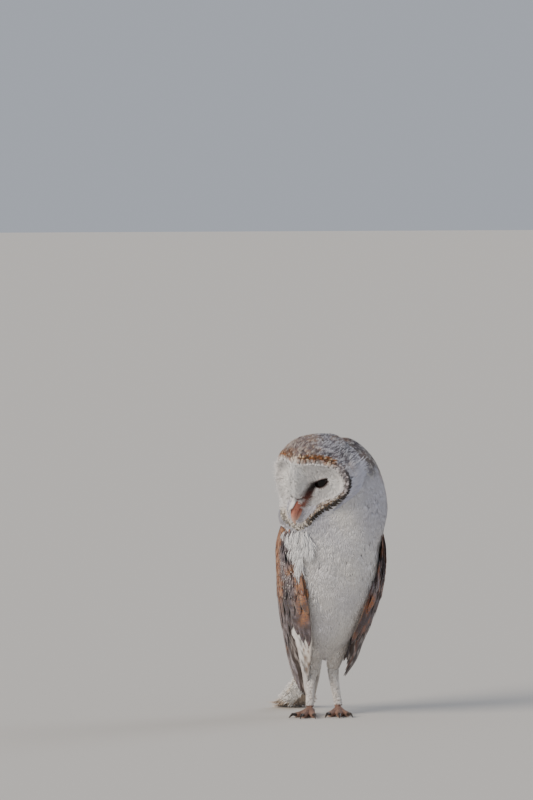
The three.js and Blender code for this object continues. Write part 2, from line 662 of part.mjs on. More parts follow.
function tailVane(k) {
  const t = (k / (TAIL.count - 1)) * 2 - 1; // -1 at the bird's right, 1 at its left
  const layer = -Math.abs(t) * TAIL.layer * (TAIL.count / 2 - 0.5);
  const floor = TAIL.layer * (TAIL.count / 2 - 0.5) + TAIL.thickness / 2 - TAIL.press;
  const curl = TAIL.curl * Math.max(0, Math.abs(t) - TAIL.curlFrom) ** 2;
  const rise = layer + floor - TAIL.end.z + curl;
  const endShift = new THREE.Vector3(t * TAIL.endSpread, -TAIL.endBack * t * t, rise);
  const path = new THREE.QuadraticBezierCurve3(
    TAIL.root.clone().add(new THREE.Vector3(t * TAIL.rootSpread, 0.45 * layer, 0.3 * layer)),
    TAIL.bend.clone().add(new THREE.Vector3(t * TAIL.rootSpread, 0, layer + floor)),
    TAIL.end.clone().add(endShift),
  );
  const sheet = (face) => (along, across) => {
    const run = path.getTangent(along);
    const sideways = new THREE.Vector3(1, 0, 0).addScaledVector(run, -run.x).normalize();
    const normal = new THREE.Vector3().crossVectors(sideways, run);
    const taper = lerp(0.55, 1, Math.min(1, along * 2.5)) * (1 - 0.5 * Math.max(0, (along - 0.8) / 0.2) ** 2);
    return path
      .getPoint(along)
      .addScaledVector(sideways, (across - 0.5) * TAIL.width * taper)
      .addScaledVector(normal, (face - 0.5) * TAIL.thickness);
  };
  return plateSolid(6, 1, sheet(1), sheet(0));
}

function addTail(torsoOut) {
  const base = limbSolid(TAIL_COVERTS, 16, 2);
  const vanes = Array.from({ length: TAIL.count }, (_, k) => tailVane(k));
  addNode("tail", joined([base, ...vanes]).subtract(torsoOut).subtract(FLOOR), colours.white);
}

// ---- Legs -------------------------------------------------------------------------------

function legPoint(side, joint) {
  return new THREE.Vector3(LEG_MIDDLE + side * joint.out, joint.y, joint.z);
}

const limbJoint = (side, joint) => ({ at: legPoint(side, joint), radius: joint.radius });

function makeThigh(side, grow) {
  const joints = [LEG.hip, LEG.knee, LEG.hock].map((joint) => limbJoint(side, joint));
  return limbSolid(joints, 14, 3, grow);
}

function makeTarsus(side, grow) {
  const joints = [LEG.hock, LEG.shin, LEG.ankle].map((joint) => limbJoint(side, joint));
  joints[0].radius = LEG.shank;
  return limbSolid(joints, 12, 3, grow);
}

// The way a toe points on the floor.
function toeDirection(side, toe) {
  const angle = (toe.angle + (side > 0 ? FOOT_TURN.left : FOOT_TURN.right)) * DEG;
  return new THREE.Vector3(side * Math.sin(angle), -Math.cos(angle), 0);
}

function toeEnd(side, toe) {
  const root = legPoint(side, LEG.ankle);
  const direction = toeDirection(side, toe);
  return new THREE.Vector3(root.x, root.y, toe.radius - SOLE_FLAT).addScaledVector(direction, toe.length);
}

function makeToe(side, toe) {
  const ankle = legPoint(side, LEG.ankle);
  const direction = toeDirection(side, toe);
  const at = (share, height) =>
    new THREE.Vector3(ankle.x, ankle.y, height).addScaledVector(direction, toe.length * share);
  const low = toe.radius - SOLE_FLAT;
  return limbSolid(
    [
      { at: at(0, ankle.z - 3), radius: toe.radius * 0.95 },
      { at: at(0.33, low + 2), radius: toe.radius },
      { at: at(0.68, low), radius: toe.radius },
      { at: at(1, low), radius: toe.radius * 0.84 },
    ],
    8,
    2,
  );
}

function makeClaw(side, toe) {
  const direction = toeDirection(side, toe);
  const root = toeEnd(side, toe);
  const start = root.clone().addScaledVector(direction, -2);
  const middle = root.clone().addScaledVector(direction, CLAW.length * 0.5);
  const end = root.clone().addScaledVector(direction, CLAW.length);
  middle.z += CLAW.arch;
  end.z = CLAW.tip + CLAW.clear;
  const joints = [
    { at: start, radius: CLAW.radius },
    { at: middle, radius: CLAW.radius * 0.75 },
    { at: end, radius: CLAW.tip },
  ];
  return limbSolid(joints, 8, 2).trimByPlane(direction.toArray(), root.dot(direction) + GAP);
}

function addLeg(side, torsoOut) {
  const suffix = side > 0 ? "left" : "right";
  addNode(`thigh_${suffix}`, makeThigh(side, 0).subtract(torsoOut), colours.white);
  const cuff = LEG.ankle.z + CUFF;
  const shank = makeTarsus(side, 0).trimByPlane([0, 0, 1], cuff + GAP);
  addNode(`tarsus_${suffix}`, shank.subtract(makeThigh(side, GAP)), colours.white);
  const ankle = makeTarsus(side, 0).trimByPlane([0, 0, -1], -cuff);
  const foot = joined([ankle, ...TOES.map((toe) => makeToe(side, toe))]).subtract(FLOOR);
  addNode(`foot_${suffix}`, foot, colours.toe);
  for (const toe of TOES) addNode(`claw_${toe.name}_${suffix}`, makeClaw(side, toe), colours.dark, 0.3);
}

// ---- Assembly ---------------------------------------------------------------------------

const headOut = wasm.Manifold.hull([
  makeHead(GAP + SLOPE_GAP),
  ...makeRuff(SLOPE_GAP),
  billSolid(BILL_UPPER, GAP),
  billSolid(BILL_LOWER, GAP),
]);
const neckOut = makeNeck(GAP);
const torsoOut = makeTorso(SLOPE_GAP);
const armsOut = joined([-1, 1].map((side) => wingArm(side, GAP)));
addNode("torso", makeTorso(0).subtract(neckOut).subtract(headOut), colours.white);
addNode("neck", makeNeck(0).subtract(headOut).subtract(armsOut), colours.white);
addHead();
for (const side of [-1, 1]) {
  addWing(side);
  addLeg(side, torsoOut);
}
addTail(torsoOut);

export default owl;
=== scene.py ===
"""A barn owl at life size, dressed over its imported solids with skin, plumage, eyes, bill and feet.

Sizes are millimetres in the bird's own frame: its upright axis runs through the trunk, the breast faces -Y,
its left side is +X and the floor is z = 0. `in_metres` takes them to the shared frame. Angles round the body
run from the bird's left side (0) by its back (90) to its right side (180); the breast is at -90.
"""

import json
import logging
import math
from collections.abc import Callable
from dataclasses import dataclass, field
from enum import Enum

import bmesh
import bpy
import numpy as np
from mathutils import Matrix, Vector

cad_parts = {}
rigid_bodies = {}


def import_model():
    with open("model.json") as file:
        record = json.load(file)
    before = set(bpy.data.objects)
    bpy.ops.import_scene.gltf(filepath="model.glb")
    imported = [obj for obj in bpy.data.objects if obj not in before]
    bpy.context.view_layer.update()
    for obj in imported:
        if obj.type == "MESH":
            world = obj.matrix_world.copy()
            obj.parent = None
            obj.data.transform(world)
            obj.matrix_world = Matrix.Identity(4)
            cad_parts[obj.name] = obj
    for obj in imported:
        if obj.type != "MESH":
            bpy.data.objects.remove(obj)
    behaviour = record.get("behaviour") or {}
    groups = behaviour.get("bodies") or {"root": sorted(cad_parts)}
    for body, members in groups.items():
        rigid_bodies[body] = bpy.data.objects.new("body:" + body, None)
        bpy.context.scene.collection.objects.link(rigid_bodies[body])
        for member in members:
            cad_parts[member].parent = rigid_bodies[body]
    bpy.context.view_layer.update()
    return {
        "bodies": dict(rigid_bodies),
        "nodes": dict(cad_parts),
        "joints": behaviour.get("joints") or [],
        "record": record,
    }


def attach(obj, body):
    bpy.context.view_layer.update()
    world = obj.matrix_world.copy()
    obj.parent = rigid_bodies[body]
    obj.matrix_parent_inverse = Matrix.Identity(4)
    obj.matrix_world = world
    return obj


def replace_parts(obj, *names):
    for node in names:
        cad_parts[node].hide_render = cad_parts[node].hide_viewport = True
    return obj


LOG = logging.getLogger("barn_owl")

MM = 0.001
AXIS_SHIFT = np.array([-0.2, -27.0, 0.0])  # from the bird's own frame to the shared one
BAKE_PATCH = 0.003  # side of one feather's patch on the bake map
PIECE_TRIANGLES = 190_000  # a coat with more is parted into numbered pieces

# Trunk under the coat, from the vent to the top of the nape: height, centre and half sizes.
TRUNK_ROWS = (
    (60, -4, 24, 8, 9),
    (70, -3.5, 21, 11, 12),
    (77, -3, 19, 15, 17),
    (84, -3, 17, 24, 26),
    (98, -3, 13, 35, 37),
    (120, -2, 9, 44, 46),
    (146, -1, 5, 50, 51),
    (175, 0, 2, 53, 53),
    (203, 0, 1, 54, 52),
    (226, 3, 5, 61, 51),
    (244, 3.5, 6, 64.5, 52),
    (262, 7.5, 7, 60, 49),
    (280, 10.5, 8, 53.5, 45),
    (296, 11.5, 9, 47, 40),
    (309, 11.5, 9, 40, 33),
    (318.5, 12, 9, 31, 26),
    (325.5, 12.5, 9, 22.5, 19),
    (330, 13, 9, 15, 13),
    (332.5, 13, 9, 7, 6),
    (333.3, 13, 9, 1, 1),
)
# The surface on which the folded wings lie, from the wing tips to the shoulders.
MANTLE_ROWS = (
    (22, -5, 44, 23, 20),
    (47, -4.5, 37, 30, 27),
    (66, -3.5, 28, 37.5, 35),
    (90, -3.5, 20, 43, 42.5),
    (114, -2.5, 13, 49.5, 48),
    (138, -1.5, 7, 53.8, 52),
    (172, 0, 2, 57.2, 55),
    (203, 0, 1, 59, 55),
    (232, 1, 4, 57.5, 51),
)
SECTION_POWER = 2.15
# Front edge of a folded wing: height, and angle back of the bird's side, so that forward is below 0.
WING_FRONT_ROWS = ((22, -46), (108, -58), (140, -53), (166, -42), (188, -32), (203, -22), (229, -14))

# Rim of the facial disc: angle up from level, radius, reach forward, ruff's width, skull's radius.
RIM_ROWS = (
    (-90, 40, 46, 8, 40),
    (-75, 36, 42.5, 9, 41),
    (-47, 33.5, 33, 11, 46),
    (-20, 37.5, 22, 11, 51),
    (-4, 45, 13, 8, 53.5),
    (9, 49, 9.5, 5, 54.5),
    (25, 48.5, 12, 4, 53.5),
    (42, 46, 19.5, 4, 52),
    (58, 41.5, 28, 4, 50.5),
    (75, 36.5, 33.5, 4, 49),
    (90, 35, 34.5, 4, 48.5),
)

# Ruff: angle up from level, and where it starts and ends outwards from the rim.
RUFF_ROWS = (
    (-90, -2, 8.5),
    (-80, -4, 9),
    (-70, -5.5, 7),
    (-60, -7, 5),
    (-50, -8, 4.5),
    (-40, -8, 5.5),
    (-30, -7, 8.5),
    (-20, -4.5, 10.5),
    (-10, -1, 11.5),
    (0, 1, 11.5),
    (12, 1, 10.5),
    (25, 1.5, 11),
    (40, 2.6, 13.5),
    (55, 2.8, 13),
    (70, 2.4, 12),
    (90, 2.2, 11),
)


def linear(hex_colour: str) -> np.ndarray:
    """Turns an sRGB hex colour to linear RGB.

    Args:
        hex_colour: Six hex digits.

    Returns:
        Three linear channel values.
    """
    srgb = np.array([int(hex_colour[i : i + 2], 16) / 255 for i in (0, 2, 4)])
    return np.where(srgb <= 0.04045, srgb / 12.92, ((srgb + 0.055) / 1.055) ** 2.4)


class Hue(Enum):
    """Plumage colours that several parts share, as sRGB hex."""

    WHITE = "f6f3ee"
    CREAM = "efe0c6"
    UMBER = "4b382b"
    SOOT = "1f1814"

    @property
    def rgb(self) -> np.ndarray:
        """The colour as linear RGB."""
        return linear(self.value)


def mix(first: np.ndarray | str, second: np.ndarray | str, share: np.ndarray | float) -> np.ndarray:
    """Mixes two colours or two directions.

    Args:
        first: Colour in linear RGB or as sRGB hex, or a direction.
        second: The same, where the share is 1.
        share: Amount of the second, which is kept from 0 to 1.

    Returns:
        The mixture, on the last axis.
    """
    first, second = (linear(colour) if isinstance(colour, str) else colour for colour in (first, second))
    amount = np.clip(np.asarray(share, float), 0, 1)[..., None]
    return first * (1 - amount) + second * amount


def smooth(low: float, high: float, value: np.ndarray) -> np.ndarray:
    """Rises smoothly from 0 at low to 1 at high."""
    t = np.clip((value - low) / (high - low), 0, 1)
    return t * t * (3 - 2 * t)


def mottle(points: np.ndarray, size: float, seed: int) -> np.ndarray:
    """Soft patches over space, made of a few crossed waves.

    Args:
        points: Places in millimetres, with three values on the last axis.
        size: Width of one patch.
        seed: Start of the random draw.

    Returns:
        Values of about -1 to 1.
    """
    rng = np.random.default_rng(seed)
    waves = rng.normal(size=(7, 3)) * (math.pi / size / 1.6)
    return np.sin(points @ waves.T + rng.uniform(0, 2 * math.pi, 7)).sum(-1) / 3.2


def dappled(points: np.ndarray, veil: np.ndarray) -> np.ndarray:
    """The back's gold ground under an ash-grey veil.

    Args:
        points: Places in millimetres.
        veil: How grey each place is, from 0 to 1.

    Returns:
        Linear RGB for each place.
    """
    gold = mix("c08c5e", "96592c", 0.5 + 0.6 * mottle(points, 5, 63))
    grey = mix("968b8c", "4d4445", 0.5 + 0.7 * mottle(points, 4, 64))
    return mix(gold, grey, veil)


def in_metres(points: np.ndarray) -> np.ndarray:
    """Takes points of the bird's own frame to the shared frame, in metres."""
    return (points + AXIS_SHIFT) * MM


def unit(vectors: np.ndarray) -> np.ndarray:
    """Vectors of length one, along the last axis."""
    return vectors / np.maximum(np.linalg.norm(vectors, axis=-1, keepdims=True), 1e-9)


def add_node(tree: bpy.types.NodeTree, kind: str, settings: dict | None = None,
             **inputs: object) -> bpy.types.Node:
    """Adds a node with its settings, values and links.

    Args:
        tree: Node tree of a material or world.
        kind: Blender's name of the node type, without the word ShaderNode.
        settings: Properties of the node.
        **inputs: A value or a socket for each input, named by its label, or i0, i1 and so on by place.

    Returns:
        The new node.
    """
    node = tree.nodes.new(f"ShaderNode{kind}")
    for key, value in (settings or {}).items():
        setattr(node, key, value)
    for key, value in inputs.items():
        socket = node.inputs[int(key[1:]) if key[1:].isdigit() else key.replace("_", " ")]
        if isinstance(value, bpy.types.NodeSocket):
            tree.links.new(value, socket)
        else:
            socket.default_value = value
    return node


# ---- Surfaces ----


class Table:
    """Smooth values between rows of numbers, the first of which is the row's place."""

    def __init__(self, rows: tuple) -> None:
        """Keeps the rows and works out their slopes.

        Args:
            rows: Rows of a place and its values, in rising order of place.
        """
        data = np.array(rows, float)
        self.places, self.values = data[:, 0], data[:, 1:]
        self.slopes = np.gradient(self.values, self.places, axis=0)

    def __call__(self, place: np.ndarray | float) -> np.ndarray:
        """Looks values up.

        Args:
            place: Where to read the table; it is kept within the rows.

        Returns:
            The values, on the last axis.
        """
        at = np.clip(place, self.places[0], self.places[-1])
        k = np.clip(np.searchsorted(self.places, at, side="right") - 1, 0, len(self.places) - 2)
        width = (self.places[k + 1] - self.places[k])[..., None]
        t = (at - self.places[k])[..., None] / width
        low = self.values[k] * (2 * t**3 - 3 * t**2 + 1) + self.slopes[k] * width * (t**3 - 2 * t**2 + t)
        high = self.values[k + 1] * (3 * t**2 - 2 * t**3) + self.slopes[k + 1] * width * (t**3 - t**2)
        return low + high


def wing_front(height: np.ndarray) -> np.ndarray:
    """Angle of a folded wing's front edge at a height, in degrees back of the bird's side."""
    return Table(WING_FRONT_ROWS)(height)[..., 0]


def above_level(angle: np.ndarray) -> np.ndarray:
    """How far an angle, in radians, points above level on its own side, in degrees."""
    return np.degrees(np.arcsin(np.sin(angle)))


def side_word(side: int) -> str:
    """The bird's side as a word: 1 is the left."""
    return "left" if side > 0 else "right"


@dataclass
class Strands:
    """Centre lines of feathers on a surface.

    Attributes:
        points: Places along each line, feathers by steps by three.
        normals: Outward directions there.
        place: Each root's place on the surface's unwrap, from 0 to 1 each way.
    """

    points: np.ndarray
    normals: np.ndarray
    place: np.ndarray

    def lifted(self, heights: np.ndarray | list) -> "Strands":
        """The same lines, raised by a height at each step."""
        heights = np.broadcast_to(np.asarray(heights, float), self.points.shape[:2])
        return Strands(self.points + self.normals * heights[..., None], self.normals, self.place)


class Surface:
    """A surface of the bird, read by two places u and v."""

    u_range = (0.0, 1.0)
    v_range = (-math.pi, math.pi)
    outward = 1.0
    step = 0.01
    angle_step = 0.01
    unwrap_margin = 0.01
    area_grid = (40, 60)  # places each way where the surface's area is measured
    even_steps = (0.7548776662, 0.5698402910)  # steps of a sequence that fills a square evenly

    def at(self, u: np.ndarray, v: np.ndarray) -> np.ndarray:
        """Points of the surface."""
        raise NotImplementedError

    def slopes(self, u: np.ndarray, v: np.ndarray) -> tuple[np.ndarray, np.ndarray]:
        """How far a point moves for each unit of u and of v.

        Args:
            u: First place.
            v: Second place.

        Returns:
            Movement along u and along v.
        """
        here = self.at(u, v)
        along = (self.at(u + self.step, v) - here) / self.step
        return along, (self.at(u, v + self.angle_step) - here) / self.angle_step

    def area(self, u: np.ndarray, v: np.ndarray) -> np.ndarray:
        """Area of the surface for each unit of u and v."""
        return np.linalg.norm(np.cross(*self.slopes(u, v)), axis=-1)

    def normal(self, u: np.ndarray, v: np.ndarray) -> np.ndarray:
        """Outward directions of the surface."""
        along_u, along_v = self.slopes(u, v)
        return unit(np.cross(along_v, along_u)) * self.outward

    def unwrapped(self, u: np.ndarray, v: np.ndarray) -> np.ndarray:
        """Places on the surface's own unwrap, from 0 to 1 each way.

        Args:
            u: First place.
            v: Second place.

        Returns:
            Two values on the last axis.
        """
        (u0, u1), (v0, v1) = self.u_range, self.v_range
        across = (v - v0) / (v1 - v0)
        place = np.stack([across - np.floor(across * 0.99999), (u - u0) / (u1 - u0)], -1)
        return place * (1 - 2 * self.unwrap_margin) + self.unwrap_margin

    def trace(self, start: tuple, end: tuple, steps: int) -> Strands:
        """Lines from one place to another.

        Args:
            start: u and v of the roots.
            end: u and v of the tips.
            steps: Points on each line.

        Returns:
            The lines.
        """
        share = np.linspace(0, 1, steps)
        (u0, v0), (u1, v1) = [[np.asarray(x, float)[:, None] for x in pair] for pair in (start, end)]
        u, v = u0 + (u1 - u0) * share, v0 + (v1 - v0) * share
        return Strands(self.at(u, v), self.normal(u, v), self.unwrapped(u0[:, 0], v0[:, 0]))

    def walk(self, u: np.ndarray, v: np.ndarray, heading: np.ndarray, length: np.ndarray,
             steps: int) -> Strands:
        """Lines of a given length from their roots.

        Args:
            u: Roots' first place.
            v: Roots' second place.
            heading: Direction, 0 along growing u and 90 degrees along growing v, in radians.
            length: Length of each line.
            steps: Points on each line.

        Returns:
            The lines.
        """
        along_u, along_v = self.slopes(u, v)
        reach = [length * turn / np.linalg.norm(way, axis=-1) for turn, way in
                 ((np.cos(heading), along_u), (np.sin(heading), along_v))]
        return self.trace((u, v), (u + reach[0], v + reach[1]), steps)

    def scatter(self, u_range: tuple, v_range: tuple, spacing: float, rng: np.random.Generator) -> tuple:
        """Evenly spread places, about a spacing apart.

        Args:
            u_range: Lowest and highest u.
            v_range: Lowest and highest v.
            spacing: Mean distance in millimetres.
            rng: Random draw.

        Returns:
            Arrays of u and of v.
        """
        ranges, (rows, columns) = (u_range, v_range), self.area_grid
        grid = np.meshgrid(np.linspace(*u_range, rows), np.linspace(*v_range, columns), indexing="ij")
        most = float(self.area(*grid).max())
        count = int(most * (u_range[1] - u_range[0]) * (v_range[1] - v_range[0]) / spacing**2)
        order = np.arange(count)[:, None] * np.array(self.even_steps) + rng.uniform(size=2)
        u, v = [low + share * (high - low) for share, (low, high) in zip((order % 1.0).T, ranges)]
        kept = rng.uniform(size=count) < self.area(u, v) / most
        return u[kept], v[kept]


class Trunk(Surface):
    """Rounded sections stacked up an axis; u is the height and v the angle."""

    step = 0.5

    def __init__(self, rows: tuple, side: int = 1) -> None:
        """Keeps the stations; with side -1 angles run from the bird's right side."""
        self.table, self.side, self.outward = Table(rows), side, float(side)
        self.u_range = (rows[0][0], rows[-1][0])

    def at(self, u: np.ndarray, v: np.ndarray) -> np.ndarray:
        """Points of the surface.

        Args:
            u: Heights.
            v: Angles round the trunk.

        Returns:
            Points, on the last axis.
        """
        x, y, wide, deep = np.moveaxis(self.table(u), -1, 0)
        c, s = np.cos(v), np.sin(v)
        across = wide * np.sign(c) * np.abs(c) ** (2 / SECTION_POWER)
        back = deep * np.sign(s) * np.abs(s) ** (2 / SECTION_POWER)
        return np.stack([x + self.side * across, y + back, np.broadcast_to(u, x.shape)], -1)


class Limb(Surface):
    """A limb through joints of x, y, z, radius and flatness; u runs along it and v round it."""

    aside = 0.02  # how far ahead and behind the limb's direction is measured

    def __init__(self, joints: tuple) -> None:
        """Keeps the joints."""
        self.table = Table(tuple((i, *joint) for i, joint in enumerate(joints)))
        self.u_range = (0.0, len(joints) - 1.0)

    def at(self, u: np.ndarray, v: np.ndarray) -> np.ndarray:
        """Points of the surface.

        Args:
            u: Places along the limb, 1 for each joint.
            v: Angles round it.

        Returns:
            Points, on the last axis.
        """
        u = np.asarray(u)
        values, ahead, behind = self.table(u), self.table(u + self.aside), self.table(u - self.aside)
        along = unit(ahead[..., :3] - behind[..., :3])
        across = unit(np.array([1.0, 0, 0]) - along * along[..., :1])
        third = np.cross(along, across)
        ring = across * np.cos(v)[..., None] + third * np.sin(v)[..., None] * values[..., 4:5]
        return values[..., :3] + ring * values[..., 3:4]


class HeadFrame:
    """Where the head is, how it is turned and bowed, and the shape of its disc."""

    centre = np.array([-21.4, -11.3, 290.0])
    turn, bow, lean = math.radians(53), math.radians(17), math.radians(4.5)
    disc_up = -8.0
    ridge_forward, bowl_forward, ridge_half = 50.0, 12.0, 17.0
    back_forward, back_up = -49.0, -2.0
    lip = 2.2
    eye_side, eye_forward, eye_up, eye_radius = 18.0, 13.0, -0.5, 11.0
    lid_cover = 0.9

    def __init__(self) -> None:
        """Works out the head's axes."""
        facing = Vector((-math.sin(self.turn), -math.cos(self.turn), 0))
        forward = facing * math.cos(self.bow) - Vector((0, 0, math.sin(self.bow)))
        side = Matrix.Rotation(-self.lean, 3, forward) @ Vector((-facing.y, facing.x, 0))
        self.forward, self.side, self.up = np.array(forward), np.array(side), np.array(forward.cross(side))
        self.rim_table = Table(RIM_ROWS)

    def place(self, side: np.ndarray, forward: np.ndarray, up: np.ndarray) -> np.ndarray:
        """Points given by how far they are to the head's left, forward and up."""
        parts = [np.asarray(x, float)[..., None] for x in (side, forward, up)]
        return self.centre + parts[0] * self.side + parts[1] * self.forward + parts[2] * self.up

    def seen(self, points: np.ndarray) -> tuple:
        """How far points are to the head's left, forward and up."""
        away = points - self.centre
        return away @ self.side, away @ self.forward, away @ self.up

    def rim(self, angle: np.ndarray) -> tuple:
        """Radius, reach forward, ruff width and skull radius at an angle round the disc."""
        return tuple(np.moveaxis(self.rim_table(above_level(angle)), -1, 0))

    def bowl(self, side: np.ndarray, up: np.ndarray) -> np.ndarray:
        """The dished face without the eyes.

        Args:
            side: Places to the head's left.
            up: Places up from the disc's middle.

        Returns:
            Reach forward at each place.
        """
        radius, edge, _, _ = self.rim(np.arctan2(up, side))
        share = np.clip(np.hypot(side, up) / radius, 0, 1.1)
        dish = self.bowl_forward + (edge - self.bowl_forward) * share**2.4 + self.lip * smooth(0.84, 1, share)
        above = self.ridge_forward + (36 - self.ridge_forward) * np.clip(up / 35, 0, 1) ** 1.6
        chin = np.clip(-up / 40, 0, 1)
        below = self.ridge_forward - 6.5 * np.sin(math.pi * chin**1.2) - 3 * chin
        ridge = np.where(up > 0, above, below)
        return dish + np.maximum(0, ridge - dish) * np.exp(-((np.abs(side) / self.ridge_half) ** 1.5))

    def face(self, side: np.ndarray, up: np.ndarray) -> np.ndarray:
        """The dished face with the lids swelling out of it.

        Args:
            side: Places to the head's left.
            up: Places up from the disc's middle.

        Returns:
            Reach forward at each place.
        """
        deep = self.bowl(side, up)
        off = np.hypot(np.abs(side) - self.eye_side, up - (self.eye_up - self.disc_up))
        radius = self.eye_radius + self.lid_cover
        ball = np.where(off < radius, np.sqrt(np.maximum(0, radius**2 - off**2)), 3 * (radius - off))
        over = ball + self.eye_forward - deep
        return deep + (over + np.sqrt(over**2 + 4)) / 2

    def share(self, side: np.ndarray, up: np.ndarray) -> np.ndarray:
        """How far out in the disc a place is: 0 at its middle and 1 on its rim."""
        return np.hypot(side, up) / self.rim(np.arctan2(up, side))[0]


class HeadSurface(Surface):
    """A surface of the head."""

    outward = -1.0

    def __init__(self, head: HeadFrame) -> None:
        """Keeps the head's frame."""
        self.head = head


class Face(HeadSurface):
    """The dished face; u is to the head's left and v up from the disc's middle."""

    u_range, v_range = (-52.0, 52.0), (-44.0, 40.0)

    def at(self, u: np.ndarray, v: np.ndarray) -> np.ndarray:
        """Points of the face."""
        return self.head.place(u, self.head.face(u, v), v + self.head.disc_up)


class Skull(HeadSurface):
    """The outside of the head; u is 0 on the rim and 1 at the nape, and v the angle round the disc."""

    def at(self, u: np.ndarray, v: np.ndarray) -> np.ndarray:
        """Points of the head's outside.

        Args:
            u: Places from the rim back to the nape.
            v: Angles round the disc.

        Returns:
            Points, on the last axis.
        """
        u, v = np.broadcast_arrays(np.asarray(u, float), v)
        radius, forward, band, skull = self.head.rim(v)
        edge = forward + self.head.lip
        profile = np.stack([np.stack(np.broadcast_arrays(*pair), -1) for pair in (
            (radius, edge),
            (radius + 0.8 * band, edge - 0.35 * band),
            ((radius + band) * 0.55 + skull * 0.45, edge - 9 - 0.5 * band),
            (skull, -8.0),
            (skull * 0.8, -32.0),
            (skull * 0.42, -45.0),
            (skull * 0, self.head.back_forward),
        )], -2)
        along = np.clip(u, -0.03, 0.999) * 6
        k = np.clip(np.floor(along), 0, 5).astype(int)
        t = (along - k)[..., None]
        p0, p1, p2, p3 = (
            np.take_along_axis(profile, np.clip(k + shift, 0, 6)[..., None, None], -2)[..., 0, :]
            for shift in (-1, 0, 1, 2)
        )
        s0, s1 = (p2 - p0) / 2, (p3 - p1) / 2
        at = (2 * p1 - 2 * p2 + s0 + s1) * t**3 + (3 * p2 - 3 * p1 - 2 * s0 - s1) * t**2 + s0 * t + p1
        lift = self.head.disc_up + (self.head.back_up - self.head.disc_up) * np.clip(u * 2, 0, 1)
        return self.head.place(at[..., 0] * np.cos(v), at[..., 1], lift + at[..., 0] * np.sin(v))


# ---- Finishes ----


@dataclass(frozen=True)
class Finish:
    """A material with its name and its plain surface values."""

    name: str
    roughness: float = 0.8
    sheen: float = 0.0
    ior: float = 1.5

    def build(self) -> bpy.types.Material:
        """Makes the material.

        Returns:
            The material, with its colour and bump linked.
        """
        material = bpy.data.materials.new(self.name)
        material.use_nodes = True
        tree = material.node_tree
        shader = tree.nodes["Principled BSDF"]
        for label, value in (("Roughness", self.roughness), ("Sheen Weight", self.sheen), ("IOR", self.ior)):
            shader.inputs[label].default_value = value
        colour, bump = self.pattern(tree)
        tree.links.new(colour, shader.inputs["Base Color"])
        if bump is not None:
            tree.links.new(bump, shader.inputs["Normal"])
        return material

    def pattern(self, tree: bpy.types.NodeTree) -> tuple:
        """The colour and bump sockets; the plain finish has its pieces' own tint."""
        return self.painted(tree, "Tint", "Color"), None

    @staticmethod
    def painted(tree: bpy.types.NodeTree, name: str, output: str) -> bpy.types.NodeSocket:
        """What the vertices carry under a name."""
        return add_node(tree, "Attribute", {"attribute_name": name}).outputs[output]

    @staticmethod
    def place(tree: bpy.types.NodeTree) -> bpy.types.NodeSocket:
        """Places in the object's own space, in metres."""
        return add_node(tree, "TexCoord").outputs["Object"]

    @staticmethod
    def maths(tree: bpy.types.NodeTree, operation: str, *values: object) -> bpy.types.NodeSocket:
        """The result of a sum on values or sockets."""
        inputs = {f"i{number}": value for number, value in enumerate(values)}
        return add_node(tree, "Math", {"operation": operation}, **inputs).outputs[0]

    @staticmethod
    def ramp(tree: bpy.types.NodeTree, value: bpy.types.NodeSocket, low: float, high: float,
             most: float = 1.0) -> bpy.types.NodeSocket:
        """Rises evenly from 0 where the value is low to the most where it is high."""
        limits = {"From_Min": low, "From_Max": high, "To_Max": most}
        return add_node(tree, "MapRange", Value=value, **limits).outputs["Result"]

    @staticmethod
    def laid(tree: bpy.types.NodeTree, under: bpy.types.NodeSocket, hue: str,
             share: bpy.types.NodeSocket) -> bpy.types.NodeSocket:
        """Lays a colour, given as sRGB hex, over another by share."""
        over = (*linear(hue), 1.0)
        return add_node(tree, "Mix", {"data_type": "RGBA"}, i0=share, i6=under, i7=over).outputs[2]

    @staticmethod
    def bumped(tree: bpy.types.NodeTree, height: bpy.types.NodeSocket, strength: float,
               distance: float) -> bpy.types.NodeSocket:
        """The surface's direction, bent by a height."""
        return add_node(tree, "Bump", Strength=strength, Distance=distance, Height=height).outputs["Normal"]


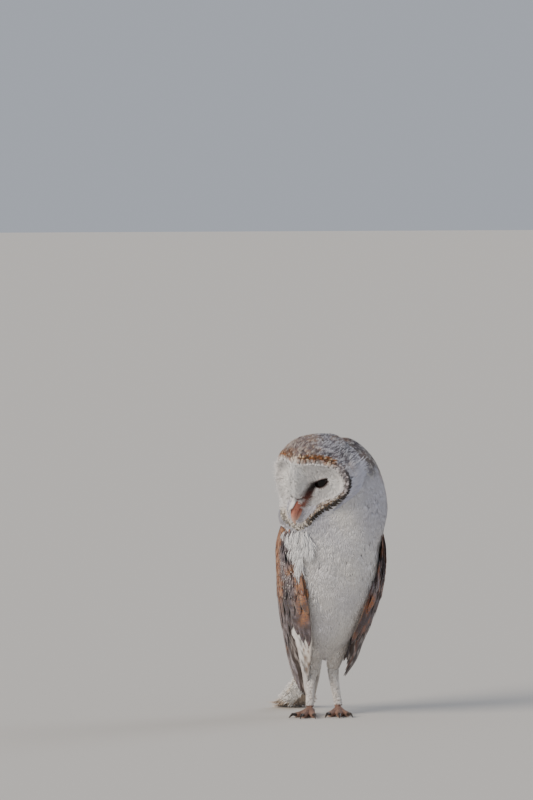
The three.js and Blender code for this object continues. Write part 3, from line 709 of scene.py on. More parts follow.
@dataclass(frozen=True)
class Plumage(Finish):
    """Keratin vanes and down: matt, with a drop-shaped spot, bars, grey grain and pale edges where marked."""

    spot_white: str = "f4efe6"
    spot_dark: str = "2b201b"
    bar: str = "5d4a40"
    grain: str = "5c565f"

    def pattern(self, tree: bpy.types.NodeTree) -> tuple:
        """Marks within each feather, by its own map.

        Args:
            tree: Node tree of the material.

        Returns:
            The colour and bump sockets.
        """
        marks = self.painted(tree, "Marks", "Vector")
        spots, bars, grains = add_node(tree, "SeparateXYZ", Vector=marks).outputs
        vane = add_node(tree, "UVMap", {"uv_map": "Vane"}).outputs["UV"]
        across, along, _ = add_node(tree, "SeparateXYZ", Vector=vane).outputs
        half = self.maths(tree, "SUBTRACT", across, 0.5)
        off = self.maths(tree, "ABSOLUTE", half)
        place = self.place(tree)
        # Ash-grey vermiculation; real lines are 0.8 mm wide and are drawn at about 1.3 mm so that they show.
        speck = add_node(tree, "TexNoise", Vector=place, Scale=800.0, Detail=3.0, Distortion=1.0)
        warp = add_node(tree, "TexNoise", Vector=place, Scale=300.0, Detail=2.0)
        wave = self.maths(tree, "MULTIPLY_ADD", warp.outputs["Fac"], 2.2, 0.0)
        ripple = self.maths(tree, "SINE", self.maths(tree, "MULTIPLY_ADD", along, 31.0, wave))
        layers = [
            (self.grain, self.ramp(tree, speck.outputs["Fac"], 0.47, 0.58), grains),
            (self.bar, self.ramp(tree, ripple, 0.25, 0.8), bars),
            (Hue.CREAM.value, self.ramp(tree, off, 0.36, 0.5, 0.75), bars),
            (self.spot_dark, self.ramp(tree, off, 0.05, 0.0, 0.7), bars),
        ]
        for hue, tip, reach in ((self.spot_dark, 0.78, 0.24), (self.spot_white, 0.85, 0.16)):
            rise = self.maths(tree, "MULTIPLY_ADD", along, 1.5, -1.5 * tip)
            from_tip = add_node(tree, "CombineXYZ", X=half, Y=rise).outputs[0]
            far = add_node(tree, "VectorMath", {"operation": "LENGTH"}, i0=from_tip).outputs["Value"]
            layers.append((hue, self.ramp(tree, far, reach, reach * 0.6), spots))
        colour = self.painted(tree, "Tint", "Color")
        for hue, shape, strength in layers:
            clamped = {"operation": "MULTIPLY", "use_clamp": True}
            share = add_node(tree, "Math", clamped, i0=shape, i1=strength)
            colour = self.laid(tree, colour, hue, share.outputs[0])
        # Barbs slant off the shaft; real ones are 0.3 mm apart and are drawn at 0.8 mm so that they show.
        slant = self.maths(tree, "MULTIPLY_ADD", off, -60.0, 0.0)
        barb = self.maths(tree, "SINE", self.maths(tree, "MULTIPLY_ADD", along, 160.0, slant))
        return colour, self.bumped(tree, self.maths(tree, "MULTIPLY", barb, bars), 0.25, 0.0003)


@dataclass(frozen=True)
class Horn(Finish):
    """Keratin of bill and claws: smooth, with a soft shine and faint streaks of growth."""

    streak: str = "8c5a48"
    strength: float = 0.25

    def pattern(self, tree: bpy.types.NodeTree) -> tuple:
        """Faint mottling about 1.5 mm wide and shallow growth lines.

        Args:
            tree: Node tree of the material.

        Returns:
            The colour and bump sockets.
        """
        stretched = add_node(tree, "Mapping", Vector=self.place(tree), Scale=(1.0, 1.0, 0.35))
        cloud = add_node(tree, "TexNoise", Vector=stretched.outputs[0], Scale=650.0, Detail=4.0)
        cloud = cloud.outputs["Fac"]
        share = self.ramp(tree, cloud, 0.4, 0.7, self.strength)
        colour = self.laid(tree, self.painted(tree, "Tint", "Color"), self.streak, share)
        return colour, self.bumped(tree, cloud, 0.2, 0.0004)


@dataclass(frozen=True)
class ScaledSkin(Finish):
    """Bare skin of the toes: small round scales about 1.3 mm wide, with painted shade in the creases."""

    crease: str = "4d352c"

    def pattern(self, tree: bpy.types.NodeTree) -> tuple:
        """Cells of scales with painted shade in the creases.

        Args:
            tree: Node tree of the material.

        Returns:
            The colour and bump sockets.
        """
        feature = {"feature": "DISTANCE_TO_EDGE"}
        cells = add_node(tree, "TexVoronoi", feature, Vector=self.place(tree), Scale=760.0)
        cells = cells.outputs["Distance"]
        # Painted shade: the creases between scales are darkened in colour.
        creased = self.ramp(tree, cells, 0.14, 0.0, 0.65)
        colour = self.laid(tree, self.painted(tree, "Tint", "Color"), self.crease, creased)
        return colour, self.bumped(tree, self.ramp(tree, cells, 0.0, 0.3), 0.7, 0.0006)


# ---- Making of coats ----


class Outline(Enum):
    """How a feather's width runs from its root to its tip, as shares of its width at even steps."""

    LOCK = (0.8, 1.0, 0.28)
    BARB = (0.5, 1.0, 0.8, 0.06)
    VANE = (0.35, 0.75, 0.95, 1.0, 1.0, 0.97, 0.9, 0.72, 0.12)
    QUILL = (0.3, 0.6, 0.8, 0.92, 1.0, 1.0, 0.98, 0.9, 0.76, 0.55, 0.1)
    STIFF = (0.7, 1.0, 1.0, 0.9, 0.35)

    def widths(self, steps: int) -> np.ndarray:
        """The shares at a number of steps."""
        return np.interp(np.linspace(0, 1, steps), np.linspace(0, 1, len(self.value)), self.value)


@dataclass
class Coat:
    """Many feathers in one or a few meshes, each a closed thin vane with a ridge along its middle.

    Attributes:
        name: Name of the piece.
        finish: Material of the feathers.
        slot: Name of the record's material slot; not used.
        batches: What has been added: arrays for vertices, faces and maps.
    """

    name: str
    finish: bpy.types.Material
    slot: str
    batches: list = field(default_factory=list)

    def add(self, strands: Strands, width: np.ndarray | float, tint: np.ndarray | Callable,
            tip: np.ndarray | None = None, marks: tuple | np.ndarray = (0, 0, 0),
            outline: Outline = Outline.LOCK, columns: int = 2, thickness: float = 0.2,
            camber: float = 0.06, fade: float = 1.5) -> None:
        """Adds a feather along each strand.

        Args:
            strands: Centre lines.
            width: Greatest width, one for all or one each.
            tint: Colour of the feathers, one for all, one each or a function of places on them.
            tip: Colour at their tips, where it is another.
            marks: Strength of spots, bars and grain.
            outline: How the width runs along the feather.
            columns: Faces across the top.
            thickness: Height of the middle ridge.
            camber: How far the edges turn down, as a share of the width.
            fade: How closely the tip's colour keeps to the tip.
        """
        count, steps, _ = strands.points.shape
        if not count:
            return
        along = unit(np.gradient(strands.points, axis=1))
        sideways = unit(np.cross(strands.normals, along))
        rise = np.cross(along, sideways)
        wide = np.broadcast_to(np.asarray(width, float), (count,))[:, None] * outline.widths(steps)
        across = np.linspace(-1, 1, columns + 1)
        offset = wide[..., None] * across / 2
        height = thickness * (1 - across**2) * (wide / wide.max(1, keepdims=True))[..., None]
        height = height - camber * wide[..., None] * across**2
        points = strands.points[:, :, None] + sideways[:, :, None] * offset[..., None]
        points = points + rise[:, :, None] * height[..., None]
        share = np.linspace(0, 1, steps)
        shape = (count, steps, columns + 1)
        marks = np.broadcast_to(marks, (count, 3))[:, None]
        colour = tint(points) if callable(tint) else np.broadcast_to(tint, (count, 3))[:, None, None]
        if tip is not None:
            tip = np.broadcast_to(tip, (count, 3))[:, None, None]
            colour = colour + (tip - colour) * (share**fade)[None, :, None, None]
        vane = np.stack(np.meshgrid(share, (across + 1) / 2, indexing="ij"), -1)[..., ::-1]
        patch = (vane - 0.5) * BAKE_PATCH
        self.batches.append({
            "points": points.reshape(count, -1, 3),
            "tint": np.broadcast_to(colour, (*shape, 3)).reshape(count, -1, 3),
            "marks": np.broadcast_to(marks, (count, steps * (columns + 1), 3)),
            "vane": np.broadcast_to(vane, (*shape, 2)).reshape(count, -1, 2),
            "bake": (strands.place[:, None, None] + patch).reshape(count, -1, 2),
            "faces": self.faces(steps, columns),
            "triangles": (steps - 1) * (2 * columns + 2) + 2 * (columns - 1),
        })

    @staticmethod
    def faces(steps: int, columns: int) -> list:
        """The faces of one closed vane: its top, underside and both ends.

        Args:
            steps: Rings along it.
            columns: Faces across the top.

        Returns:
            Lists of vertex numbers.
        """
        ring = columns + 1
        last = (steps - 1) * ring
        top = [(j + c, j + ring + c, j + ring + c + 1, j + c + 1) for j in range(0, last, ring)
               for c in range(columns)]
        under = [(j, j + columns, j + ring + columns, j + ring) for j in range(0, last, ring)]
        return [*top, *under, tuple(range(ring)), tuple(range(last + columns, last - 1, -1))]

    def build(self) -> list:
        """Makes the meshes, parted so that none has too many triangles.

        Returns:
            The new objects.
        """
        total = sum(len(b["points"]) * b["triangles"] for b in self.batches)
        parts = max(1, math.ceil(total / PIECE_TRIANGLES))
        made = []
        for part in range(parts):
            rows = [{key: (value[part::parts] if isinstance(value, np.ndarray) else value)
                     for key, value in batch.items()} for batch in self.batches]
            made.append(self.mesh(f"{self.name}_{part + 1}" if parts > 1 else self.name, rows))
        return made

    def mesh(self, name: str, rows: list) -> bpy.types.Object:
        """Makes one mesh of some of the feathers.

        Args:
            name: Name of the piece.
            rows: Batches of feathers.

        Returns:
            The new object.
        """
        loops, starts, first, loop_count = [], [], 0, 0
        for batch in rows:
            count, size, _ = batch["points"].shape
            template = np.concatenate([np.array(face) for face in batch["faces"]])
            lengths = np.array([len(face) for face in batch["faces"]])
            begin = np.concatenate([[0], np.cumsum(lengths)[:-1]])
            number = np.arange(count)[:, None]
            loops.append((template[None] + number * size + first).ravel())
            starts.append((begin[None] + number * len(template) + loop_count).ravel())
            first += count * size
            loop_count += count * len(template)
        joined = {key: np.concatenate([b[key].reshape(-1, b[key].shape[-1]) for b in rows])
                  for key in ("points", "tint", "marks", "vane", "bake")}
        loops, starts = np.concatenate(loops).astype(np.int32), np.concatenate(starts).astype(np.int32)
        mesh = bpy.data.meshes.new(name)
        mesh.vertices.add(first)
        mesh.vertices.foreach_set("co", in_metres(joined["points"]).astype(np.float32).ravel())
        mesh.loops.add(len(loops))
        mesh.loops.foreach_set("vertex_index", loops)
        mesh.polygons.add(len(starts))
        mesh.polygons.foreach_set("loop_start", starts)
        mesh.update(calc_edges=True)
        for layer, key in (("OFBake", "bake"), ("Vane", "vane")):
            uv = mesh.uv_layers.new(name=layer)
            uv.data.foreach_set("uv", joined[key][loops].astype(np.float32).ravel())
        paint_vertices(mesh, joined["tint"])
        marks = mesh.attributes.new("Marks", "FLOAT_VECTOR", "POINT")
        marks.data.foreach_set("vector", joined["marks"].astype(np.float32).ravel())
        mesh.polygons.foreach_set("use_smooth", np.ones(len(starts), bool))
        return placed(mesh, self.finish)


def paint_vertices(mesh: bpy.types.Mesh, tint: np.ndarray) -> None:
    """Gives each vertex its colour, as the attribute Tint.

    Args:
        mesh: The mesh.
        tint: Linear RGB for each vertex, or one for all.
    """
    colour = np.ones((len(mesh.vertices), 4), np.float32)
    colour[:, :3] = tint
    layer = mesh.color_attributes.new("Tint", "FLOAT_COLOR", "POINT")
    layer.data.foreach_set("color", colour.ravel())


def shaped(bm: bmesh.types.BMesh, name: str, tint: np.ndarray, rounded: bool = True) -> bpy.types.Mesh:
    """Turns a working mesh into a painted one.

    Args:
        bm: The working mesh, which is freed.
        name: Name of the mesh.
        tint: Linear RGB for each vertex, or one for all.
        rounded: Whether its faces are shaded as one round surface.

    Returns:
        The mesh.
    """
    mesh = bpy.data.meshes.new(name)
    bm.to_mesh(mesh)
    bm.free()
    paint_vertices(mesh, tint)
    mesh.polygons.foreach_set("use_smooth", np.full(len(mesh.polygons), rounded))
    return mesh


def moved(bm: bmesh.types.BMesh, points: np.ndarray) -> None:
    """Puts a working mesh's vertices at points of the bird's own frame."""
    for vert, point in zip(bm.verts, in_metres(points)):
        vert.co = Vector(point)


def linked(name: str, data: bpy.types.ID) -> bpy.types.Object:
    """Makes an object and puts it in the scene.

    Args:
        name: Name of the object.
        data: Its mesh, lamp or camera.

    Returns:
        The new object.
    """
    made = bpy.data.objects.new(name, data)
    bpy.context.scene.collection.objects.link(made)
    return made


def walled(piece: bpy.types.Object, thickness: float, offset: float) -> None:
    """Gives a sheet a thickness in millimetres, on its front side or, with offset 0, on both."""
    wall = piece.modifiers.new("wall", "SOLIDIFY")
    wall.thickness, wall.offset = thickness * MM, offset


def lofted(rise: np.ndarray, root: float, middle: float = 0.6) -> np.ndarray:
    """Heights of feathers' roots, middles and tips, where the tips stand off by a rise."""
    return np.stack([np.full(rise.shape, root), rise * middle, rise], -1)


def placed(mesh: bpy.types.Mesh, finish: bpy.types.Material) -> bpy.types.Object:
    """Makes a mesh a piece of its own name, dresses it, lets it ride on the bird and reports it.

    Args:
        mesh: The new mesh.
        finish: Its material.

    Returns:
        The new object.
    """
    piece = linked(mesh.name, mesh)
    piece.data.materials.append(finish)
    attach(piece, "root")
    LOG.info("%s: %d triangles", piece.name, len(mesh.loops) - 2 * len(mesh.polygons))
    return piece


def own_points(mesh: bpy.types.Mesh) -> np.ndarray:
    """A mesh's vertices in the bird's own frame, in millimetres.

    Args:
        mesh: The mesh.

    Returns:
        Places, vertices by three.
    """
    flat = np.zeros(len(mesh.vertices) * 3)
    mesh.vertices.foreach_get("co", flat)
    return flat.reshape(-1, 3) / MM - AXIS_SHIFT


@dataclass
class Rounded:
    """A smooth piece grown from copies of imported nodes.

    Attributes:
        nodes: The nodes that it replaces.
        voxel: Fineness of its surface.
        passes: Rounds of smoothing.
        inset: How far it lies inside the nodes, one number or a function of its points.
        grow: How far the copies swell before they join, so that neighbours merge; it is taken off again.
    """

    nodes: tuple
    voxel: float
    passes: int
    inset: float | Callable = 0.0
    grow: float = 0.0

    def mesh(self, name: str, frame: dict) -> bpy.types.Mesh:
        """Joins, remeshes, smooths and insets the copies.

        Args:
            name: Name of the mesh.
            frame: The loaded frame.

        Returns:
            One closed mesh.
        """
        bm = bmesh.new()
        for node in self.nodes:
            bm.from_mesh(frame["nodes"][node].data)
        bmesh.ops.remove_doubles(bm, verts=bm.verts, dist=1e-6)
        bm.normal_update()
        for vert in bm.verts:
            vert.co += vert.normal * self.grow * MM
        rough = bpy.data.meshes.new(name)
        bm.to_mesh(rough)
        bm.free()
        holder = linked(name, rough)
        remesh = holder.modifiers.new("even", "REMESH")
        remesh.mode, remesh.voxel_size = "VOXEL", self.voxel * MM
        even = bpy.data.meshes.new_from_object(holder.evaluated_get(bpy.context.evaluated_depsgraph_get()))
        bpy.data.objects.remove(holder)
        bpy.data.meshes.remove(rough)
        bm = bmesh.new()
        bm.from_mesh(even)
        for _ in range(self.passes):
            bmesh.ops.smooth_vert(bm, verts=bm.verts, factor=0.5, use_axis_x=True, use_axis_y=True,
                                  use_axis_z=True)
        bm.normal_update()
        places = np.array([v.co for v in bm.verts]) / MM - AXIS_SHIFT
        depth = self.inset(places) if callable(self.inset) else np.full(len(places), float(self.inset))
        for vert, amount in zip(bm.verts, depth):
            vert.co -= vert.normal * (amount + self.grow) * MM
        bm.to_mesh(even)
        bm.free()
        even.name = name
        even.polygons.foreach_set("use_smooth", np.ones(len(even.polygons), bool))
        return even


# ---- Markings ----


@dataclass(frozen=True)
class Markings:
    """Where the plumage is white, buff, gold or grey, for skin and coat alike."""

    head: HeadFrame

    def trunk(self, points: np.ndarray) -> np.ndarray:
        """White breast and legs, a neck tinted lilac-grey that is partly its own grey and partly painted
        shade, and a gold and grey back.

        Args:
            points: Places in millimetres.

        Returns:
            Linear RGB for each place.
        """
        _, y, z = np.moveaxis(points, -1, 0)
        angle = np.degrees(np.arctan2(y - 5, np.abs(points[..., 0] - 3)))
        shade = mix(Hue.WHITE.rgb, "dfdde2", 0.4 + 0.35 * mottle(points, 26, 8))
        # The lilac-grey over the neck's sides and back is partly the bird's own grey and partly painted
        # shade, the cool cast of shadow.
        shade = mix(shade, "c6c6d1", 0.8 * smooth(200, 250, z) * smooth(-92, -50, angle))
        edge = angle + 9 * mottle(points, 16, 3) + 8 * smooth(225, 250, z)
        edge = edge - 34 * smooth(-10, -30, points[..., 0]) * smooth(212, 226, z)
        behind = smooth(-14, 16, edge) * smooth(70, 110, z)
        back = dappled(points, smooth(-0.3, 0.3, mottle(points, 13, 61) + 0.1))
        nape = smooth(292, 312, z + 5 * mottle(points, 12, 14) + 0.35 * np.maximum(0, y - 20))
        return mix(mix(shade, back, behind), self.frosted(points), nape)

    def frosted(self, points: np.ndarray) -> np.ndarray:
        """Lilac-grey of crown and nape, with tan patches, darkening to brown towards the bird's left side as
        painted shade.

        Args:
            points: Places in millimetres.

        Returns:
            Linear RGB for each place.
        """
        slate = mix("857c86", "39343a", 0.5 + 0.6 * mottle(points, 7, 22))
        tan = mix("b9987a", "806048", 0.4 + 0.5 * mottle(points, 6, 21))
        top = mix(slate, tan, smooth(0.0, 0.5, mottle(points, 10, 24)) * 0.6)
        # Painted shade: the dark brown towards the bird's left side, which faces away from the light.
        return mix(top, "4c4039", 0.7 * smooth(10, 34, points[..., 0] + 8 * mottle(points, 14, 25)))

    def crown(self, points: np.ndarray) -> np.ndarray:
        """Frosted grey and buff crown, gold at the forehead, pale lilac-grey on the cheeks that is partly
        painted shade.

        Args:
            points: Places in millimetres.

        Returns:
            Linear RGB for each place.
        """
        aside, ahead, up = self.head.seen(points)
        across = 0.8 * aside - 0.6 * ahead + 5 * mottle(points, 9, 26)
        front = mix("e0d0c4", "a58677", 0.5 + 0.7 * mottle(points, 4, 23))
        middle = mix("bf9f84", "786366", 0.5 + 0.8 * mottle(points, 5, 29))
        top = mix(mix(front, middle, smooth(-30, -12, across)), self.frosted(points), smooth(-6, 14, across))
        brow = smooth(-24, -35, across) * smooth(14, 24, up) * smooth(-0.4, 0.4, mottle(points, 5, 27))
        top = mix(top, "b97a35", brow * 0.85)
        # The cheeks' lilac-grey is partly the bird's own pale tone and partly painted shade, the cool cast of
        # shadow.
        pale = mix("dbdae2", "c9c8d3", 0.5 + 0.4 * mottle(points, 14, 28))
        cheek = smooth(26, 4, up - 0.2 * np.maximum(0, -ahead)) * smooth(10, 30, np.abs(aside))
        return mix(top, pale, np.maximum(cheek, smooth(4, -14, up)))

    def disc(self, side: np.ndarray, up: np.ndarray) -> np.ndarray:
        """White disc with a rust streak from the eye's inner corner down to the bill.

        Args:
            side: Places to the head's left.
            up: Places up from the disc's middle.

        Returns:
            Linear RGB for each place.
        """
        points = np.stack([side, up, side * 0], -1)
        white = mix("fcfbf9", "e8e4e2", 0.3 + 0.35 * mottle(points, 9, 31))
        start, end = np.array([14.6, 6.0]), np.array([4.5, -14.0])
        place = np.stack([np.abs(side), up], -1) - start
        along = np.clip((place @ (end - start)) / ((end - start) @ (end - start)), -0.1, 1)
        off = np.linalg.norm(place - along[..., None] * (end - start), axis=-1)
        streak = smooth(4.3, 2.2, off + 0.5 * mottle(points, 4, 33) + 0.9 * along)
        brown = mix(mix("1c0d09", "58241a", smooth(0.05, 0.4, along)), "b0705c", smooth(0.4, 1, along))
        return mix(white, mix("a88474", brown, streak), streak)


# ---- Skin ----


@dataclass
class Skin:
    """The one skin under the coat, in place of the nodes of flesh."""

    frame: dict
    head: HeadFrame
    markings: Markings
    finish: bpy.types.Material
    coat_depth: float = 1.2
    face_depth: float = 1.0
    leg_depth: float = 1.1
    voxel: float = 2.1

    def depth(self, points: np.ndarray) -> np.ndarray:
        """How deep the coat is over each place.

        Args:
            points: Places in millimetres.

        Returns:
            Depth at each place.
        """
        _, ahead, _ = self.head.seen(points)
        depth = self.coat_depth + (self.face_depth - self.coat_depth) * smooth(0, 18, ahead)
        return np.where(points[:, 2] < 100, np.minimum(depth, self.leg_depth), depth)

    def build(self) -> bpy.types.Object:
        """Makes the skin.

        Returns:
            The new object.
        """
        nodes = ("torso", "neck", "head", *(f"{part}_{side_word(side)}" for part in ("thigh", "tarsus")
                                            for side in (1, -1)))
        mesh = Rounded(nodes, self.voxel, 5, self.depth, 0.4).mesh("skin", self.frame)
        points = own_points(mesh)
        side, ahead, up = self.head.seen(points)
        off = np.linalg.norm(points - self.head.centre, axis=-1)
        in_head = smooth(56, 51, off) * smooth(-25, -5, up)
        tint = mix(self.markings.trunk(points), self.markings.crown(points), in_head)
        up = up - self.head.disc_up
        in_disc = smooth(1.02, 0.96, self.head.share(side, up))
        in_disc = in_disc * smooth(-9, -5, ahead - self.head.bowl(side, up))
        paint_vertices(mesh, mix(tint, self.markings.disc(side, up), in_disc))
        skin = placed(mesh, self.finish)
        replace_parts(skin, *nodes)
        return skin


def fanned(count: int, barbs: int, spread: float, rng: np.random.Generator) -> tuple:
    """Headings and lengths of the barbs that make up one soft feather.

    Args:
        count: Number of feathers.
        barbs: Barbs in each.
        spread: How far the outer barbs turn aside, in radians.
        rng: Random draw.

    Returns:
        The feather's number, heading and share of length for each barb.
    """
    number = np.repeat(np.arange(count), barbs)
    turn = np.tile(np.linspace(-1, 1, barbs) if barbs > 1 else np.zeros(1), count)
    heading = turn * spread + rng.normal(size=len(number)) * spread * 0.2
    length = (1 - 0.22 * turn**2) * rng.uniform(0.86, 1.08, len(number))
    return number, heading, length


# ---- Body coat ----


@dataclass
class BodyCoat:
    """Soft feathers of breast, belly, neck and back, laid down the trunk in overlapping fans."""

    markings: Markings
    finish: bpy.types.Material
    head: HeadFrame
    spacing: float = 3.3
    length: float = 15.0
    barb_width: float = 1.9
    barbs: int = 7
    spread: float = 0.32
    seed: int = 5

    def build(self) -> None:
        """Lays the breast, the neck and the wisps of the throat."""
        rng = np.random.default_rng(self.seed)
        trunk = Trunk(TRUNK_ROWS)
        for name, low, high in (("coat_breast", 76, 236), ("coat_neck", 236, 333.2)):
            coat = Coat(name, self.finish, "plumage_white")
            u, v = trunk.scatter((low, high), (-math.pi, math.pi), self.spacing, rng)
            kept = self.open_to_view(trunk, u, v)
            self.lay(coat, trunk, u[kept], v[kept], rng)
            coat.build()
        self.throat(trunk, rng)

    def open_to_view(self, trunk: Trunk, u: np.ndarray, v: np.ndarray) -> np.ndarray:
        """Places that neither a wing nor the head hides.

        Args:
            trunk: The surface.
            u: Heights.
            v: Angles.

        Returns:
            True where feathers are wanted.
        """
        angle = above_level(v)
        under_wing = (angle > wing_front(u) + 9) & (angle < 76) & (u < 219) & (u > 88)
        aside, ahead, up = self.head.seen(trunk.at(u, v))
        in_head = (aside / 43) ** 2 + (up / 38) ** 2 + (ahead / 39) ** 2 < 1
        return ~under_wing & ~in_head

    def lay(self, coat: Coat, trunk: Trunk, u: np.ndarray, v: np.ndarray, rng: np.random.Generator) -> None:
        """Lays fans of barbs at some roots.

        Args:
            coat: Where they are added.
            trunk: The surface.
            u: Heights of the roots.
            v: Angles of the roots.
            rng: Random draw.
        """
        number, heading, share = fanned(len(u), self.barbs, self.spread, rng)
        drift = 0.16 * mottle(trunk.at(u, v), 30, 41) + rng.normal(size=len(u)) * 0.07
        down = math.pi + heading + (drift + 0.25 * np.sin(v) * np.cos(v))[number]
        size = self.length * (0.8 + 0.35 * smooth(250, 130, u))[number] * share
        strands = trunk.walk(u[number], v[number], down, size, 3)
        at_wing = smooth(14, 0, np.abs(above_level(v) - wing_front(u))) * smooth(236, 215, u)
        raised = (0.85 + 3.0 * at_wing * smooth(120, 165, u) + rng.uniform(-0.15, 0.2, len(u)))[number]
        raised = raised + rng.uniform(-0.12, 0.12, len(number))
        tint = self.markings.trunk(trunk.at(u, v)) * (1 + rng.normal(size=(len(u), 1)) * 0.02)
        grey = smooth(0.55, 0.3, tint.min(-1))
        frost = (grey > 0.3) & (rng.uniform(size=len(u)) < 0.3) & (u > 270)
        marks = np.stack([grey * 0.3, grey * 0, grey * 0.6], -1)[number]
        tip = np.where(frost[:, None], Hue.WHITE.rgb, tint * 1.04)[number]
        dotted = (rng.uniform(size=len(u)) < 0.014) & (u < 190) & (np.abs(above_level(v)) > 25)
        tip = np.where((dotted[number] & (number != np.roll(number, 1)))[:, None], Hue.UMBER.rgb, tip)
        coat.add(strands.lifted(lofted(raised, -0.7, 0.55)), self.barb_width, np.clip(tint[number], 0, 1),
                 np.clip(tip, 0, 1), marks, thickness=0.12, camber=0.04, fade=3.0)

    def throat(self, trunk: Trunk, rng: np.random.Generator) -> None:
        """Long loose white wisps under the chin and along the wing's front edge.

        Args:
            trunk: The surface.
            rng: Random draw.
        """
        coat = Coat("coat_throat", self.finish, "plumage_white")
        for count, heights, angles, length, rise in (
            (150, (204, 227), (-172, -128), 19, 8.0),
            (60, (182, 214), (-158, -143), 26, 8.5),
        ):
            u, v = rng.uniform(*heights, count), np.radians(rng.uniform(*angles, count))
            number, heading, share = fanned(count, 7, 0.24, rng)
            down = math.pi + heading + rng.normal(size=count)[number] * 0.16
            strands = trunk.walk(u[number], v[number], down, length * share, 5)
            lift = rise * rng.uniform(0.6, 1.15, count)[number]
            lifts = lift[:, None] * np.array([-0.1, 0.5, 0.85, 1.0, 0.95])
            coat.add(strands.lifted(lifts), 1.1, linear("f7f5f4"), linear("ffffff"), outline=Outline.BARB)
        coat.build()


# ---- Head ----


@dataclass
class Eye:
    """One eye: a dark wet ball behind half-closed lids."""

    head: HeadFrame
    side: int
    offset: float = HeadFrame.eye_side
    forward: float = HeadFrame.eye_forward
    up: float = HeadFrame.eye_up
    radius: float = HeadFrame.eye_radius
    outward: float = math.radians(24)
    upward: float = math.radians(7)
    width: float = 21.0
    above: float = 3.5
    below: float = 4.7
    tilt: float = math.radians(21)
    corner: float = 2.6
    lid_gap: float = 0.6
    lid_reach: float = 6.5
    lid_thickness: float = 0.6

    def axes(self) -> tuple:
        """Where the eye is and how it is turned.

        Returns:
            Middle of the ball and its three axes: along the lids, across them and outwards.
        """
        head = self.head
        middle = head.place(self.side * self.offset, self.forward, self.up)
        level = head.forward * math.cos(self.outward) + head.side * self.side * math.sin(self.outward)
        look = level * math.cos(self.upward) + head.up * math.sin(self.upward)
        across = unit(np.cross(head.up, look))
        lift = np.cross(look, across)
        turn = self.side * self.tilt
        along = across * math.cos(turn) + lift * math.sin(turn)
        return middle, along, np.cross(look, along), look

    def opened(self, points: np.ndarray, margin: float) -> np.ndarray:
        """Finds places in front of the opening between the lids.

        Args:
            points: Places in millimetres.
            margin: How far out of the opening still counts.

        Returns:
            True where a place lies there.
        """
        middle, along, lift, _ = self.axes()
        x, y = (points - middle) @ along, (points - middle) @ lift
        arch = np.maximum(0, 1 - (x / (self.width / 2)) ** 2)
        return (np.abs(x) < self.width / 2 + margin) & (y < self.above * arch + margin) & (
            y > -self.below * arch - margin)

    def ball(self, finish: bpy.types.Material) -> bpy.types.Object:
        """The eyeball with its raised cornea.

        Args:
            finish: Wet surface.

        Returns:
            The new object.
        """
        middle, _, _, look = self.axes()
        bm = bmesh.new()
        bmesh.ops.create_uvsphere(bm, u_segments=48, v_segments=32, radius=1.0)
        turn = Vector((0, 0, 1)).rotation_difference(Vector(look)).to_matrix()
        bmesh.ops.rotate(bm, verts=bm.verts, matrix=turn)
        points = np.array([vert.co for vert in bm.verts])
        ahead = points @ look
        bulge = self.radius - 0.5 + 0.9 * smooth(0.72, 0.95, ahead)
        moved(bm, middle + points * bulge[:, None])
        iris = mix("1a0f0b", "040303", smooth(0.9, 0.93, ahead))
        tint = mix("0c0807", iris, smooth(0.62, 0.7, ahead))
        ball = placed(shaped(bm, f"eyeball_{side_word(self.side)}", tint), finish)
        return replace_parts(ball, f"eye_{side_word(self.side)}")

    def lid(self, upper: bool, finish: bpy.types.Material) -> bpy.types.Object:
        """One lid: a patch of skin over the ball, thick at its margin.

        Args:
            upper: The upper lid, or else the lower one.
            finish: Soft bare skin.

        Returns:
            The new object.
        """
        middle, along, lift, look = self.axes()
        bm = bmesh.new()
        bmesh.ops.create_grid(bm, x_segments=28, y_segments=10, size=1.0)
        ball = self.radius + self.lid_gap
        across, away, _ = np.array([vert.co for vert in bm.verts]).T
        away = (away + 1) / 2 * self.lid_reach
        x = across * (self.width / 2 + self.corner)
        arch = np.maximum(0, 1 - (x / (self.width / 2)) ** 2)
        y = self.above * arch + away if upper else -self.below * arch - away
        over = np.hypot(x, y)
        share = np.minimum(over, ball * 0.985) / np.maximum(over, 1e-6)
        deep = np.sqrt(np.maximum(0.1, ball**2 - (over * share) ** 2))
        moved(bm, middle + np.outer(x * share, along) + np.outer(y * share, lift) + np.outer(deep, look))
        inner = np.maximum(0, -across * self.side)
        rim = mix("3b2a26", "3a170e", inner)
        tint = mix("cfc8c4", rim, np.exp(-(away**2) / 2) + 0.7 * inner)
        bm.normal_update()
        if sum(face.normal.dot(Vector(look)) for face in bm.faces) < 0:
            bmesh.ops.reverse_faces(bm, faces=bm.faces)
        mesh = shaped(bm, f"lid_{'upper' if upper else 'lower'}_{side_word(self.side)}", tint)
        lid = placed(mesh, finish)
        walled(lid, self.lid_thickness, 1.0)
        return lid


